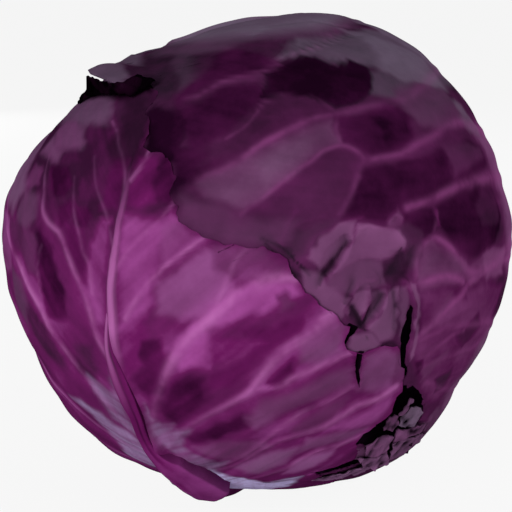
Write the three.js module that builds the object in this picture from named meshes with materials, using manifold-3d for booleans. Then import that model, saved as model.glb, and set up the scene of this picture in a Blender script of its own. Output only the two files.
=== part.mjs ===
// A head of red cabbage, standing on its cut stalk.
// Millimetres, +Z up, the front towards -Y. The origin is on the surface that the head stands on,
// under the middle of the stalk.
//
// Places on the head are directions from its centre: a longitude from the front, positive
// towards +X, and a latitude from its middle, positive upwards, both in degrees.
import * as THREE from 'three';
import Module from 'manifold-3d';

const wasm = await Module();
wasm.setup();

// ---- Driving dimensions -------------------------------------------------------------------
const HALF_WIDTH = 85;
const HALF_HEIGHT = 81;
const CENTRE_HEIGHT = 82;
const STALK_RADIUS = 16;
const CORE_LENGTH = 46;
const CORE_TIP_RADIUS = 8;

const BLADE = 1.3;
const LEAF_GAP = 0.9;
const COVER_REACH = 15;
const COVER_FADE = 14;

const SIDE_RIB_RISE = 2;
const MIDRIB_STALK_WIDTH = 12;
const MIDRIB_TIP_WIDTH = 3;

// Broad swells and hollows in the shape of the head: where, how wide (degrees) and how far out.
const SWELLS = [
  { at: [88, 46], spread: 28, rise: 4.5 },
  { at: [-95, 60], spread: 26, rise: -6 },
  { at: [-82, 6], spread: 20, rise: 1.5 },
  { at: [75, -26], spread: 20, rise: -2 },
  { at: [0, -90], spread: 18, rise: -5 },
];

// ---- Directions ---------------------------------------------------------------------------
const DEG = Math.PI / 180;

function toward([longitude, latitude]) {
  const level = Math.cos(latitude * DEG);
  return new THREE.Vector3(
    level * Math.sin(longitude * DEG),
    -level * Math.cos(longitude * DEG),
    Math.sin(latitude * DEG),
  );
}

function smoothStep(low, high, value) {
  return THREE.MathUtils.smoothstep(value, low, high);
}

// Turns one direction towards another by a share of the angle between them.
function turnTowards(from, to, share) {
  const angle = from.angleTo(to);
  if (angle < 1e-6) return from.clone();
  const a = Math.sin((1 - share) * angle) / Math.sin(angle);
  const b = Math.sin(share * angle) / Math.sin(angle);
  return from.clone().multiplyScalar(a).addScaledVector(to, b).normalize();
}

// ---- The outside of the head --------------------------------------------------------------
function moundAt(direction, { at, spread, rise }) {
  const away = direction.angleTo(toward(at)) / (spread * DEG);
  return rise * Math.exp(-away * away);
}

function headRadius(direction) {
  const level = Math.hypot(direction.x, direction.y) / HALF_WIDTH;
  const ellipsoid = 1 / Math.hypot(level, direction.z / HALF_HEIGHT);
  return SWELLS.reduce((radius, swell) => radius + moundAt(direction, swell), ellipsoid);
}

function placeOnHead(direction, radius) {
  const point = direction.clone().multiplyScalar(radius);
  return point.setZ(point.z + CENTRE_HEIGHT);
}

// ---- Leaves -------------------------------------------------------------------------------
// A leaf is ruled by side ribs: each row runs from the midrib to a point on each margin.
// spine, left and right give those points from the stalk to the tip, left as seen from outside
// with the stalk down, and leftBow gives the middles of rows that bend on their way. The grid
// has that many rows of cells, and of columns left and right of the midrib. The leaves are
// listed from the outermost inwards.
const LEAVES = [
  {
    name: 'leaf_front',
    middle: [-35, 0],
    rows: 20,
    columns: [8, 7],
    spine: [[-17, -75], [-22, -58], [-24, -45], [-25.5, -33], [-27, -22], [-28, -12], [-28.7, -3],
      [-29, 7], [-28.6, 17], [-29, 28], [-37, 43]],
    left: [[-75, -75], [-98, -56], [-106, -28], [-106, -4], [-102, 16], [-95, 29], [-86, 36.5],
      [-77, 41], [-68, 43.5], [-58, 44.5], [-48, 46]],
    right: [[42, -75], [30, -52], [25, -38], [31, -19], [26, -7], [14, 1], [5, 12], [-6, 14.5],
      [-17, 23], [-28, 35], [-33, 42]],
    midribRise: 4.5,
    frill: 0.7,
  },
  {
    name: 'leaf_right',
    middle: [70, 25],
    rows: 28,
    columns: [16, 10],
    spine: [[100, -75], [101, -55], [102, -35], [104, -15], [106, 5], [109, 25], [113, 45],
      [124, 65], [170, 82], [-100, 76], [-98, 56]],
    leftBow: [[80, -77], [62, -59], [57, -38], [52, -20], [46, -3], [38, 14], [30, 30], [24, 45],
      [14, 58], [-30, 66], [-94, 53]],
    left: [[58, -75], [24, -52], [16, -32], [6, -14], [-7, 0], [-21, 14], [-34, 28], [-44, 38],
      [-41, 47], [-62, 47.5], [-91, 50]],
    right: [[150, -75], [-178, -52], [-167, -30], [-162, -10], [-160, 8], [-158, 25], [-155, 40],
      [-148, 53], [-134, 61], [-118, 63], [-106, 60]],
    midribRise: 3.5,
    frill: 0.5,
    flap: { at: [-68, 47], spread: 19, rise: 9 },
    tear: [[30.2, 1.5], [30, -8], [29.6, -18], [28, -26], [23.5, -35], [25.5, -37], [31, -25],
      [34, -23], [38.5, -29], [41.5, -27], [37.5, -20], [32.6, -16], [31.8, -8], [31.9, 1.5]],
  },
  {
    name: 'leaf_back',
    middle: [-130, 5],
    rows: 20,
    columns: [10, 7],
    spine: [[-124, -75], [-125, -55], [-126, -35], [-127, -15], [-128, 5], [-129, 22], [-131, 38],
      [-133, 52], [-136, 64], [-140, 74], [-150, 82]],
    left: [[-166, -75], [170, -55], [160, -30], [158, -8], [159, 12], [161, 30], [164, 45],
      [167, 58], [172, 68], [180, 77], [-170, 84]],
    right: [[-85, -75], [-74, -50], [-70, -25], [-69, -5], [-68, 12], [-65, 25], [-58, 36],
      [-47, 47], [-48, 57], [-64, 68], [-105, 77]],
    midribRise: 3.5,
    frill: 0,
  },
  lowLeaf('leaf_under_front', 22),
  lowLeaf('leaf_under_back', 165),
];

// A leaf that the outer ones hide: the same on both sides of an upright midrib.
function lowLeaf(name, longitude) {
  const spineLatitudes = [-75, -60, -45, -30, -16, -3, 10, 21, 30, 38, 45];
  const halfSpans = [38, 62, 68, 68, 66, 62, 56, 48, 38, 24, 10];
  const marginRise = [0, 4, 9, 14, 18, 20, 19, 18, 17, 15, 11];
  const edge = (side) => spineLatitudes.map(
    (latitude, row) => [longitude + side * halfSpans[row], latitude + marginRise[row]],
  );
  return {
    name,
    middle: [longitude, 0],
    rows: 18,
    columns: [9, 9],
    spine: spineLatitudes.map((latitude) => [longitude, latitude]),
    left: edge(-1),
    right: edge(1),
    midribRise: 2.5,
    frill: 0,
  };
}

function smoothLine(places) {
  return new THREE.CatmullRomCurve3(places.map(toward), false, 'centripetal');
}

function lineAt(line, share) {
  return line.getPoint(share).normalize();
}

for (const leaf of LEAVES) {
  if (leaf.leftBow) leaf.leftBowLine = smoothLine(leaf.leftBow);
  leaf.spineLine = smoothLine(leaf.spine);
  leaf.leftLine = smoothLine(leaf.left);
  leaf.rightLine = smoothLine(leaf.right);
  leaf.margin = marginOf(leaf);
}

// The leaf's whole edge as directions: up the left side, over the tip, down the right, round the foot.
function marginOf({ spineLine, leftLine, rightLine }) {
  const sideSteps = 44;
  const endSteps = 8;
  const margin = [];
  const walk = (steps, at) => {
    for (let step = 0; step < steps; step += 1) margin.push(at(step / steps));
  };
  const ends = (share) => [leftLine, spineLine, rightLine].map((line) => lineAt(line, share));
  const [leftFoot, foot, rightFoot] = ends(0);
  const [leftTip, tip, rightTip] = ends(1);
  walk(sideSteps, (share) => lineAt(leftLine, share));
  walk(endSteps, (share) => turnTowards(leftTip, tip, share));
  walk(endSteps, (share) => turnTowards(tip, rightTip, share));
  walk(sideSteps, (share) => lineAt(rightLine, 1 - share));
  walk(endSteps, (share) => turnTowards(rightFoot, foot, share));
  walk(endSteps, (share) => turnTowards(foot, leftFoot, share));
  return margin;
}

// Lays directions out flat round a middle, keeping each one's angle and bearing from it.
function layFlat(direction, middle) {
  const centre = toward(middle);
  const north = new THREE.Vector3(0, 0, 1).addScaledVector(centre, -centre.z).normalize();
  const east = new THREE.Vector3().crossVectors(north, centre);
  const angle = direction.angleTo(centre);
  const x = direction.dot(east);
  const y = direction.dot(north);
  const scale = angle / Math.max(Math.hypot(x, y), 1e-9);
  return [x * scale, y * scale];
}

function isInside(leaf, direction) {
  leaf.flatMargin ??= leaf.margin.map((point) => layFlat(point, leaf.middle));
  const [x, y] = layFlat(direction, leaf.middle);
  let inside = false;
  leaf.flatMargin.forEach(([x1, y1], index) => {
    const [x2, y2] = leaf.flatMargin[(index + 1) % leaf.flatMargin.length];
    const crosses = (y1 > y) !== (y2 > y);
    if (crosses && x < ((x2 - x1) * (y - y1)) / (y2 - y1) + x1) inside = !inside;
  });
  return inside;
}

// 1 under a leaf and just past its edge, fading to 0 further out.
function coverBy(leaf, direction) {
  if (isInside(leaf, direction)) return 1;
  const chord = Math.min(...leaf.margin.map((point) => point.distanceTo(direction)));
  return 1 - smoothStep(COVER_REACH, COVER_REACH + COVER_FADE, chord * HALF_WIDTH);
}

function coversAbove(layer, direction) {
  return LEAVES.slice(0, layer).map((leaf) => coverBy(leaf, direction));
}

// How far below the outside of the head the next layer lies.
function depthUnder(covers) {
  return covers.reduce((sum, cover) => sum + cover, 0) * (BLADE + LEAF_GAP);
}

// How far across the half leaf a column stands: the first is the foot of the midrib.
function columnShare(column, columns, midribHalf, halfSpan) {
  if (column === 0) return 0;
  const foot = Math.min(midribHalf / halfSpan, 0.12);
  return foot + ((1 - foot) * (Math.abs(column) - 1)) / (columns - 1);
}

// The direction at a share of the way along a row, from the midrib to the margin.
function alongRow(leaf, rowShare, spine, margin, onLeft, share) {
  if (!onLeft || !leaf.leftBowLine) return turnTowards(spine, margin, share);
  const bow = lineAt(leaf.leftBowLine, rowShare);
  return lineAt(new THREE.CatmullRomCurve3([spine, bow, margin], false, 'centripetal'), share);
}

// One point of a leaf's grid: its direction, and the rise of the ribs there.
function leafPoint(leaf, row, column) {
  const share = row / leaf.rows;
  const onLeft = column < 0;
  const spine = lineAt(leaf.spineLine, share);
  const margin = lineAt(onLeft ? leaf.leftLine : leaf.rightLine, share);
  const midribHalf = THREE.MathUtils.lerp(MIDRIB_STALK_WIDTH, MIDRIB_TIP_WIDTH, share ** 0.6) / 2;
  const halfSpan = spine.angleTo(margin) * HALF_WIDTH;
  const across = columnShare(column, leaf.columns[onLeft ? 0 : 1], midribHalf, halfSpan);
  const taper = 1 - share;
  const stalkTuck = 0.35 + 0.65 * smoothStep(0, 0.12, share);
  const isRib = row % 2 === 0 && row > 0 && row < leaf.rows;
  const sideRib = isRib && column !== 0 ? SIDE_RIB_RISE * (1 - 0.7 * across) : 0;
  const midrib = column === 0 ? leaf.midribRise * (0.2 + 0.8 * taper ** 1.5) * stalkTuck : 0;
  const direction = alongRow(leaf, share, spine, margin, onLeft, across);
  return { direction, rise: midrib + sideRib };
}

function edgeLift(leaf, row, column, direction) {
  const onEdge = (column === -leaf.columns[0] || column === leaf.columns[1]) && row > 2;
  const frill = onEdge ? leaf.frill * (row % 2) : 0;
  return frill + (leaf.flap ? moundAt(direction, leaf.flap) : 0);
}

function leafGrid(leaf, layer) {
  const outer = [];
  const inner = [];
  for (let row = 0; row <= leaf.rows; row += 1) {
    for (let column = -leaf.columns[0]; column <= leaf.columns[1]; column += 1) {
      const { direction, rise } = leafPoint(leaf, row, column);
      const covers = coversAbove(layer, direction);
      const bare = covers.reduce((share, cover) => share * (1 - cover), 1);
      const lift = edgeLift(leaf, row, column, direction) * bare;
      const face = headRadius(direction) - depthUnder(covers) + lift;
      outer.push(placeOnHead(direction, face + rise * bare));
      inner.push(placeOnHead(direction, face - BLADE));
    }
  }
  return [outer, inner];
}

// A closed blade from two like grids of points, split into triangles alike on both faces.
function bladeGeometry([outer, inner], { rows, columns }) {
  const wide = columns[0] + columns[1] + 1;
  const count = outer.length;
  const index = [];
  const quad = (a, b, c, d) => index.push(a, b, c, a, c, d);
  for (let row = 0; row < rows; row += 1) {
    for (let column = 0; column < wide - 1; column += 1) {
      const a = row * wide + column;
      quad(a, a + 1, a + 1 + wide, a + wide);
      index.push(count + a, count + a + 1 + wide, count + a + 1);
      index.push(count + a, count + a + wide, count + a + 1 + wide);
    }
  }
  const rim = [];
  for (let column = 0; column < wide - 1; column += 1) rim.push(column);
  for (let row = 0; row < rows; row += 1) rim.push(row * wide + wide - 1);
  for (let column = wide - 1; column > 0; column -= 1) rim.push(rows * wide + column);
  for (let row = rows; row > 0; row -= 1) rim.push(row * wide);
  rim.forEach((here, step) => {
    const next = rim[(step + 1) % rim.length];
    quad(next, here, count + here, count + next);
  });
  return geometryOf([...outer, ...inner].flatMap((point) => point.toArray()), index);
}

function geometryOf(positions, index) {
  const geometry = new THREE.BufferGeometry();
  geometry.setAttribute('position', new THREE.Float32BufferAttribute(positions, 3));
  geometry.setIndex(index);
  return geometry;
}

function toSolid(geometry) {
  return new wasm.Manifold(new wasm.Mesh({
    numProp: 3,
    vertProperties: new Float32Array(geometry.attributes.position.array),
    triVerts: new Uint32Array(geometry.index.array),
  }));
}

function toGeometry(solid) {
  const { vertProperties, triVerts } = solid.getMesh();
  return geometryOf(Array.from(vertProperties), Array.from(triVerts));
}

// A tear is cut by a plug that points at the middle of the head, with the tear's outline.
function tearPlug(outline) {
  const near = HALF_WIDTH * 0.8;
  const far = HALF_WIDTH * 1.2;
  const ring = (radius) => outline.map((at) => placeOnHead(toward(at), radius).toArray());
  const flat = outline.map(([longitude, latitude]) => new THREE.Vector2(longitude, latitude));
  const count = outline.length;
  const index = THREE.ShapeUtils.triangulateShape(flat, []).flatMap(([a, b, c]) => [
    count + a, count + b, count + c, a, c, b,
  ]);
  outline.forEach((_, here) => {
    const next = (here + 1) % count;
    index.push(here, next, count + next, here, count + next, count + here);
  });
  return geometryOf([...ring(near), ...ring(far)].flat(), index);
}

function leafGeometry(leaf, layer) {
  const blade = bladeGeometry(leafGrid(leaf, layer), leaf);
  if (!leaf.tear) return blade;
  return toGeometry(toSolid(blade).subtract(toSolid(tearPlug(leaf.tear))));
}

// ---- Inner head ---------------------------------------------------------------------------
// The tight inner leaves as one body: their folded edges wind round it as steps, and the core
// of the stalk goes up into it through an open pit.
const FOLDS = 5;
const FOLD_RISE = 1.4;
const FOLD_SLANT = 1.6;
const HEAD_MERIDIANS = 40;
const HEAD_PARALLELS = 22;
const PIT_CLEARANCE = 0.7;
const PIT_LATITUDE = -74;

function foldDepth(longitude, latitude) {
  const turn = (longitude * FOLDS) / 360 + (latitude / 90) * FOLD_SLANT;
  return FOLD_RISE * (turn - Math.floor(turn));
}

function innerHeadGeometry() {
  const rings = [];
  const meridian = (step) => (360 * step) / HEAD_MERIDIANS;
  for (let ring = 1; ring <= HEAD_PARALLELS; ring += 1) {
    const latitude = 90 + ((PIT_LATITUDE - 90) * ring) / HEAD_PARALLELS;
    rings.push(Array.from({ length: HEAD_MERIDIANS }, (_, step) => {
      const direction = toward([meridian(step), latitude]);
      const depth = depthUnder(coversAbove(LEAVES.length, direction));
      const radius = headRadius(direction) - depth - foldDepth(meridian(step), latitude);
      return placeOnHead(direction, radius);
    }));
  }
  const pitRing = (radius, height) => Array.from({ length: HEAD_MERIDIANS }, (_, step) => {
    const angle = meridian(step) * DEG;
    return new THREE.Vector3(radius * Math.sin(angle), -radius * Math.cos(angle), height);
  });
  const mouthHeight = Math.min(...rings.at(-1).map((point) => point.z));
  rings.push(pitRing(STALK_RADIUS + PIT_CLEARANCE, mouthHeight + 1));
  rings.push(pitRing(CORE_TIP_RADIUS + PIT_CLEARANCE + 0.5, CORE_LENGTH + PIT_CLEARANCE));
  const crown = new THREE.Vector3(0, 0, 1);
  const crownDepth = depthUnder(coversAbove(LEAVES.length, crown));
  const top = new THREE.Vector3(0, 0, CENTRE_HEIGHT + headRadius(crown) - crownDepth);
  const pitTop = new THREE.Vector3(0, 0, CORE_LENGTH + PIT_CLEARANCE);
  return ringsGeometry(top, rings, pitTop);
}

// A closed skin: a first point, rings of points, and a last point.
function ringsGeometry(first, rings, last) {
  const around = rings[0].length;
  const points = [first, ...rings.flat(), last];
  const index = [];
  const at = (ring, step) => 1 + ring * around + (step % around);
  for (let step = 0; step < around; step += 1) {
    index.push(0, at(0, step), at(0, step + 1));
    for (let ring = 0; ring < rings.length - 1; ring += 1) {
      index.push(at(ring, step), at(ring + 1, step), at(ring + 1, step + 1));
      index.push(at(ring, step), at(ring + 1, step + 1), at(ring, step + 1));
    }
    index.push(points.length - 1, at(rings.length - 1, step + 1), at(rings.length - 1, step));
  }
  return geometryOf(points.flatMap((point) => point.toArray()), index);
}

// ---- Stalk --------------------------------------------------------------------------------
// The cut face is flat. Above it the core narrows up into the inner head.
function stalkGeometry() {
  const chamfer = 1;
  const profile = [
    [0, 0],
    [STALK_RADIUS - chamfer, 0],
    [STALK_RADIUS, chamfer],
    [STALK_RADIUS - 0.3, 8],
    [CORE_TIP_RADIUS, CORE_LENGTH - 3],
    [CORE_TIP_RADIUS - 3, CORE_LENGTH],
    [0, CORE_LENGTH],
  ];
  const points = profile.map(([radius, height]) => new THREE.Vector2(radius, height));
  const geometry = new THREE.LatheGeometry(points, 24);
  return geometry.rotateX(Math.PI / 2);
}

// ---- The head -----------------------------------------------------------------------------
function leafSkin(colour) {
  return new THREE.MeshStandardMaterial({ color: colour, roughness: 0.45, metalness: 0 });
}

const LEAF_COLOURS = {
  leaf_front: 0x8a2f7c,
  leaf_right: 0x5c2a58,
  leaf_back: 0x6a2f66,
  leaf_under_front: 0x3a1236,
  leaf_under_back: 0x3a1236,
};

const group = new THREE.Group();

function add(name, geometry, material) {
  const mesh = new THREE.Mesh(geometry, material);
  mesh.name = name;
  group.add(mesh);
}

LEAVES.forEach((leaf, layer) => {
  add(leaf.name, leafGeometry(leaf, layer), leafSkin(LEAF_COLOURS[leaf.name]));
});
add('inner_head', innerHeadGeometry(), leafSkin(0x7b3a78));
add('stem', stalkGeometry(), new THREE.MeshStandardMaterial({
  color: 0xd9cfc6, roughness: 0.7, metalness: 0,
}));

export default group;
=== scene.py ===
import math

import bmesh
import bpy
import numpy as np
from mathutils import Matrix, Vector, noise


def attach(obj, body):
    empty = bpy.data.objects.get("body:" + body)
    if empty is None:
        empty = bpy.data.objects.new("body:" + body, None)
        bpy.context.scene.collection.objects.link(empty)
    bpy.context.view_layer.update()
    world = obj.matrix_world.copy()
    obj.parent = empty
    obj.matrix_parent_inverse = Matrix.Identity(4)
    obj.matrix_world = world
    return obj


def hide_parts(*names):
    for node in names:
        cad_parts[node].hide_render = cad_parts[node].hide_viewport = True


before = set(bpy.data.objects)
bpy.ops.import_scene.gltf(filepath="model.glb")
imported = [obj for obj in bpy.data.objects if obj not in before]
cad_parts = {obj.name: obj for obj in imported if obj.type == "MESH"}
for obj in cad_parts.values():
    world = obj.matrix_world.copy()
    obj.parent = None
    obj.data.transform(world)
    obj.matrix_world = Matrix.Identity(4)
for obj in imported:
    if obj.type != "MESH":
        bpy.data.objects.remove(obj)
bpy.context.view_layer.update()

# ---- Camera ------------------------------------------------------------------------------
# A long lens at arm's length, a little above the middle of the head, so that the crown and
# the stalk end of the front leaf both show.
HEAD_CENTRE = Vector((0, 0, 0.082))
VIEW_ELEVATION = math.radians(14)
VIEW_DISTANCE = 0.415
AIM_BELOW_CENTRE = 0.002

camera_data = bpy.data.cameras.new("camera")
camera_data.lens = 85
camera_data.sensor_width = 36
camera = bpy.data.objects.new("camera", camera_data)
bpy.context.scene.collection.objects.link(camera)
away = Vector((0, -math.cos(VIEW_ELEVATION), math.sin(VIEW_ELEVATION)))
up = Vector((0, math.sin(VIEW_ELEVATION), math.cos(VIEW_ELEVATION)))
camera.location = HEAD_CENTRE + VIEW_DISTANCE * away - AIM_BELOW_CENTRE * up
camera.rotation_euler = (math.radians(90) - VIEW_ELEVATION, 0, 0)
bpy.context.scene.camera = camera
bpy.context.scene.view_settings.view_transform = "Standard"

# ---- Floor and light ---------------------------------------------------------------------
# A plain white sweep. A broad lamp from the front left brings out the ribs and a weaker one
# fills the right. The surround is white to look at, and a dim soft grey to the leaves, so
# that their wax shines only where it is seen edge on.
FLOOR_SIZE = 40
SURROUND_WHITE = 1.0
SURROUND_DIM = 0.16
FLOOR_GLOW = 0.9
LAMP_AIM = Vector((0, 0, 0.08))


def add_object(name, data):
    thing = bpy.data.objects.new(name, data)
    bpy.context.scene.collection.objects.link(thing)
    return thing


def finish_mesh(bm, name):
    mesh = bpy.data.meshes.new(name)
    bm.to_mesh(mesh)
    bm.free()
    return mesh


def new_material(name):
    material = bpy.data.materials.new(name)
    material.use_nodes = True
    tree = material.node_tree
    return material, tree, tree.nodes["Principled BSDF"]


def add_node(tree, kind, values=None, **settings):
    node = tree.nodes.new(kind)
    for key, value in settings.items():
        setattr(node, key, value)
    for key, value in (values or {}).items():
        if isinstance(value, bpy.types.NodeSocket):
            tree.links.new(value, node.inputs[key])
        else:
            node.inputs[key].default_value = value
    return node


bm = bmesh.new()
bmesh.ops.create_grid(bm, x_segments=1, y_segments=1, size=FLOOR_SIZE / 2)
floor_mesh = finish_mesh(bm, "floor")
floor = add_object("floor", floor_mesh)
floor_material, tree, shader = new_material("white_floor")
shader.inputs["Base Color"].default_value = (0.6, 0.6, 0.6, 1)
shader.inputs["Roughness"].default_value = 0.9
seen = add_node(tree, "ShaderNodeLightPath").outputs["Is Camera Ray"]
glow = add_node(tree, "ShaderNodeEmission", {"Color": (1, 1, 1, 1), "Strength": SURROUND_WHITE})
share = add_node(tree, "ShaderNodeMath", {0: seen, 1: FLOOR_GLOW}, operation="MULTIPLY")
blend = add_node(tree, "ShaderNodeMixShader", {
    0: share.outputs[0], 1: shader.outputs[0], 2: glow.outputs[0],
})
tree.links.new(blend.outputs[0], tree.nodes["Material Output"].inputs["Surface"])
floor_mesh.materials.append(floor_material)

world = bpy.data.worlds.new("pale_surround")
world.use_nodes = True
tree = world.node_tree
seen = add_node(tree, "ShaderNodeLightPath").outputs["Is Camera Ray"]
strength = add_node(tree, "ShaderNodeMapRange", {
    "Value": seen, "To Min": SURROUND_DIM, "To Max": SURROUND_WHITE,
})
tree.nodes["Background"].inputs["Color"].default_value = (1, 1, 1, 1)
tree.links.new(strength.outputs[0], tree.nodes["Background"].inputs["Strength"])
bpy.context.scene.world = world

for name, place, size, watts in (
    ("front_left_lamp", (-0.42, -0.84, 0.36), 0.5, 6.0),
    ("right_fill_lamp", (0.8, -0.15, 0.4), 0.6, 2.4),
    ("back_left_lamp", (-0.45, 0.9, 0.3), 0.6, 2.5),
    ("back_right_lamp", (0.7, 0.6, 0.3), 0.6, 1.8),
):
    lamp = bpy.data.lights.new(name, "AREA")
    lamp.shape = "DISK"
    lamp.size = size
    lamp.energy = watts
    thing = add_object(name, lamp)
    thing.location = place
    thing.rotation_euler = (LAMP_AIM - Vector(place)).to_track_quat("-Z", "Y").to_euler()

# ---- Front leaf --------------------------------------------------------------------------
# The outermost wrapper leaf of the head. It grows from the foot of the stalk on a thick
# midrib, hugs the head, and lies over the leaves to its right and left.
#
# Places on the head are directions from its centre: longitude from the front towards +X and
# latitude upwards, in degrees. Lengths here are millimetres until a mesh is written.
MM = 0.001
CENTRE_HEIGHT = 82
HALF_WIDTH = 85
HALF_HEIGHT = 81
SWELLS = (
    ((88, 46), 28, 4.5), ((-95, 60), 26, -6), ((-82, 6), 20, 1.5), ((75, -26), 20, -2),
    ((0, -90), 18, -5), ((-10, 88), 22, -2.4), ((-86, -25), 20, -3), ((-90, 36), 13, -2.2),
    ((62, -48), 20, 2.4), ((92, 70), 12, 2), ((86, 40), 10, -1.3), ((-78, 32), 9, -1.2),
    ((-72, -18), 14, -1.2), ((66, -28), 10, -1.2), ((-80, 3), 8, -0.9), ((-54, -44), 8, 0.8),
    ((78, 6), 8, 1), ((-80, 58), 8, 2.6), ((90, 20), 7, 0.3), ((84, -13), 6, 0.6),
    ((88, 0), 5, -0.8), ((8, -64), 10, -1),
)
HEAD_RIPPLES = ((0.9, 2.6, 1), (0.35, 6, 2))
BLADE = 0.9
THIN_EDGE = 0.3
LEAF_GAP = 0.6
COVER_REACH = 2.5
COVER_FADE = 8
EDGE_PRESS = 0.37
EDGE_REACH = 3
EDGE_TEETH = 0.02
MARGIN_STEPS = 90
TIP_STEPS = 22
LINE_REACH = 14
GLOW_REACH = 3.2
PUFF = 0.8
PUFF_REACH = 5
RIB_RISE = 0.5
CREASE_RISE = 1.5
CREASE_DEPTH = 0.8
PLUG_FOOT = 76
PLUG_TOP = 100
TOOTH_LENGTH = 0.8
PANEL_WANDER = ((0.8, 15), (0.5, 38), (0.7, 15))
CLOUD_SCALE = 70
SPECKLE_SCALE = 480
SWAY_SCALE = 90
SWAY = (0.008, 0.008, 0.008)
VEIN_NET_SCALE = 150
STREAKS_AROUND = 26.0
STREAKS_UP = 40.0
GRAIN_DEPTH = 0.0011
DRY_COLOUR = (0.27, 0.115, 0.25, 1)
PAINTED_SHADE_COLOUR = (0.0015, 0.0005, 0.0015, 1)
EVEN = (((-1, 1), (-1, 1)), ((0, 1), (0, 1)))


def toward(places):
    longitude, latitude = np.radians(np.asarray(places, float)).T
    level = np.cos(latitude)
    return np.stack(
        [level * np.sin(longitude), -level * np.cos(longitude), np.sin(latitude)], -1
    )


def degrees_of(directions):
    longitude = np.degrees(np.arctan2(directions[:, 0], -directions[:, 1]))
    return longitude, np.degrees(np.arcsin(np.clip(directions[:, 2], -1, 1)))


def degrees_past(longitude, start):
    return (longitude - start + 180) % 360 - 180


def within_corners(x, y, corners):
    inside = np.zeros(len(x), bool)
    for (x1, y1), (x2, y2) in zip(corners, np.roll(corners, -1, axis=0)):
        if y1 != y2:
            crosses = (y1 > y) != (y2 > y)
            inside ^= crosses & (x < (x2 - x1) * (y - y1) / (y2 - y1) + x1)
    return inside


def unit(vectors):
    return vectors / np.linalg.norm(vectors, axis=-1, keepdims=True)


def smooth_step(low, high, value):
    share = np.clip((value - low) / (high - low), 0, 1)
    return share * share * (3 - 2 * share)


def ripple(directions, per_head, seed):
    """Soft noise from -1 to 1, with about that many waves across the head."""
    shift = Vector((seed * 7.3, seed * 3.1, -seed * 5.7))
    return np.array([noise.noise(Vector(d) * per_head + shift) for d in directions])


def head_radius(directions):
    level = np.hypot(directions[:, 0], directions[:, 1]) / HALF_WIDTH
    radius = 1 / np.hypot(level, directions[:, 2] / HALF_HEIGHT)
    for place, spread, rise in SWELLS:
        away = np.arccos(np.clip(directions @ toward(place), -1, 1))
        radius += rise * np.exp(-((away / math.radians(spread)) ** 2))
    for height, waves, seed in HEAD_RIPPLES:
        radius += height * ripple(directions, waves, seed)
    return radius


def spring(p0, p1, p2, p3, share):
    """The stretch from p1 to p2 of a centripetal Catmull-Rom curve."""
    share = np.asarray(share)[..., None]
    step = [
        np.maximum(np.linalg.norm(b - a, axis=-1, keepdims=True) ** 0.5, 1e-4)
        for a, b in ((p0, p1), (p1, p2), (p2, p3))
    ]
    leave = (p1 - p0) / step[0] - (p2 - p0) / (step[0] + step[1]) + (p2 - p1) / step[1]
    arrive = (p2 - p1) / step[1] - (p3 - p1) / (step[1] + step[2]) + (p3 - p2) / step[2]
    leave, arrive = leave * step[1], arrive * step[1]
    cubic = 2 * p1 - 2 * p2 + leave + arrive
    square = -3 * p1 + 3 * p2 - 2 * leave - arrive
    return unit(((cubic * share + square) * share + leave) * share + p1)


def smooth_line(places, share):
    """Directions along a smooth line through the places, which are evenly spaced in share."""
    points = toward(places)
    points = np.vstack([2 * points[0] - points[1], points, 2 * points[-1] - points[-2]])
    along = np.asarray(share) * (len(places) - 1)
    start = np.clip(along.astype(int), 0, len(places) - 2)
    return spring(*(points[start + k] for k in range(4)), along - start)


def ragged_line(stations, share):
    """Directions along straight stretches between (share, longitude, latitude) stations."""
    stations = np.array(stations, float)
    points = toward(stations[:, 1:])
    line = unit(np.stack([np.interp(share, stations[:, 0], c) for c in points.T], -1))
    teeth = [ripple(line, 24, k) + 0.3 * ripple(line, 60, k) for k in (11, 12, 13)]
    return unit(line + EDGE_TEETH * np.stack(teeth, -1))


def turn_towards(start, end, share):
    angle = np.arccos(np.clip(np.sum(start * end, -1), -1, 1))[..., None]
    angle = np.maximum(angle, 1e-6)
    share = np.asarray(share)[..., None]
    return unit(np.sin((1 - share) * angle) * start + np.sin(share * angle) * end)


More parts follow.
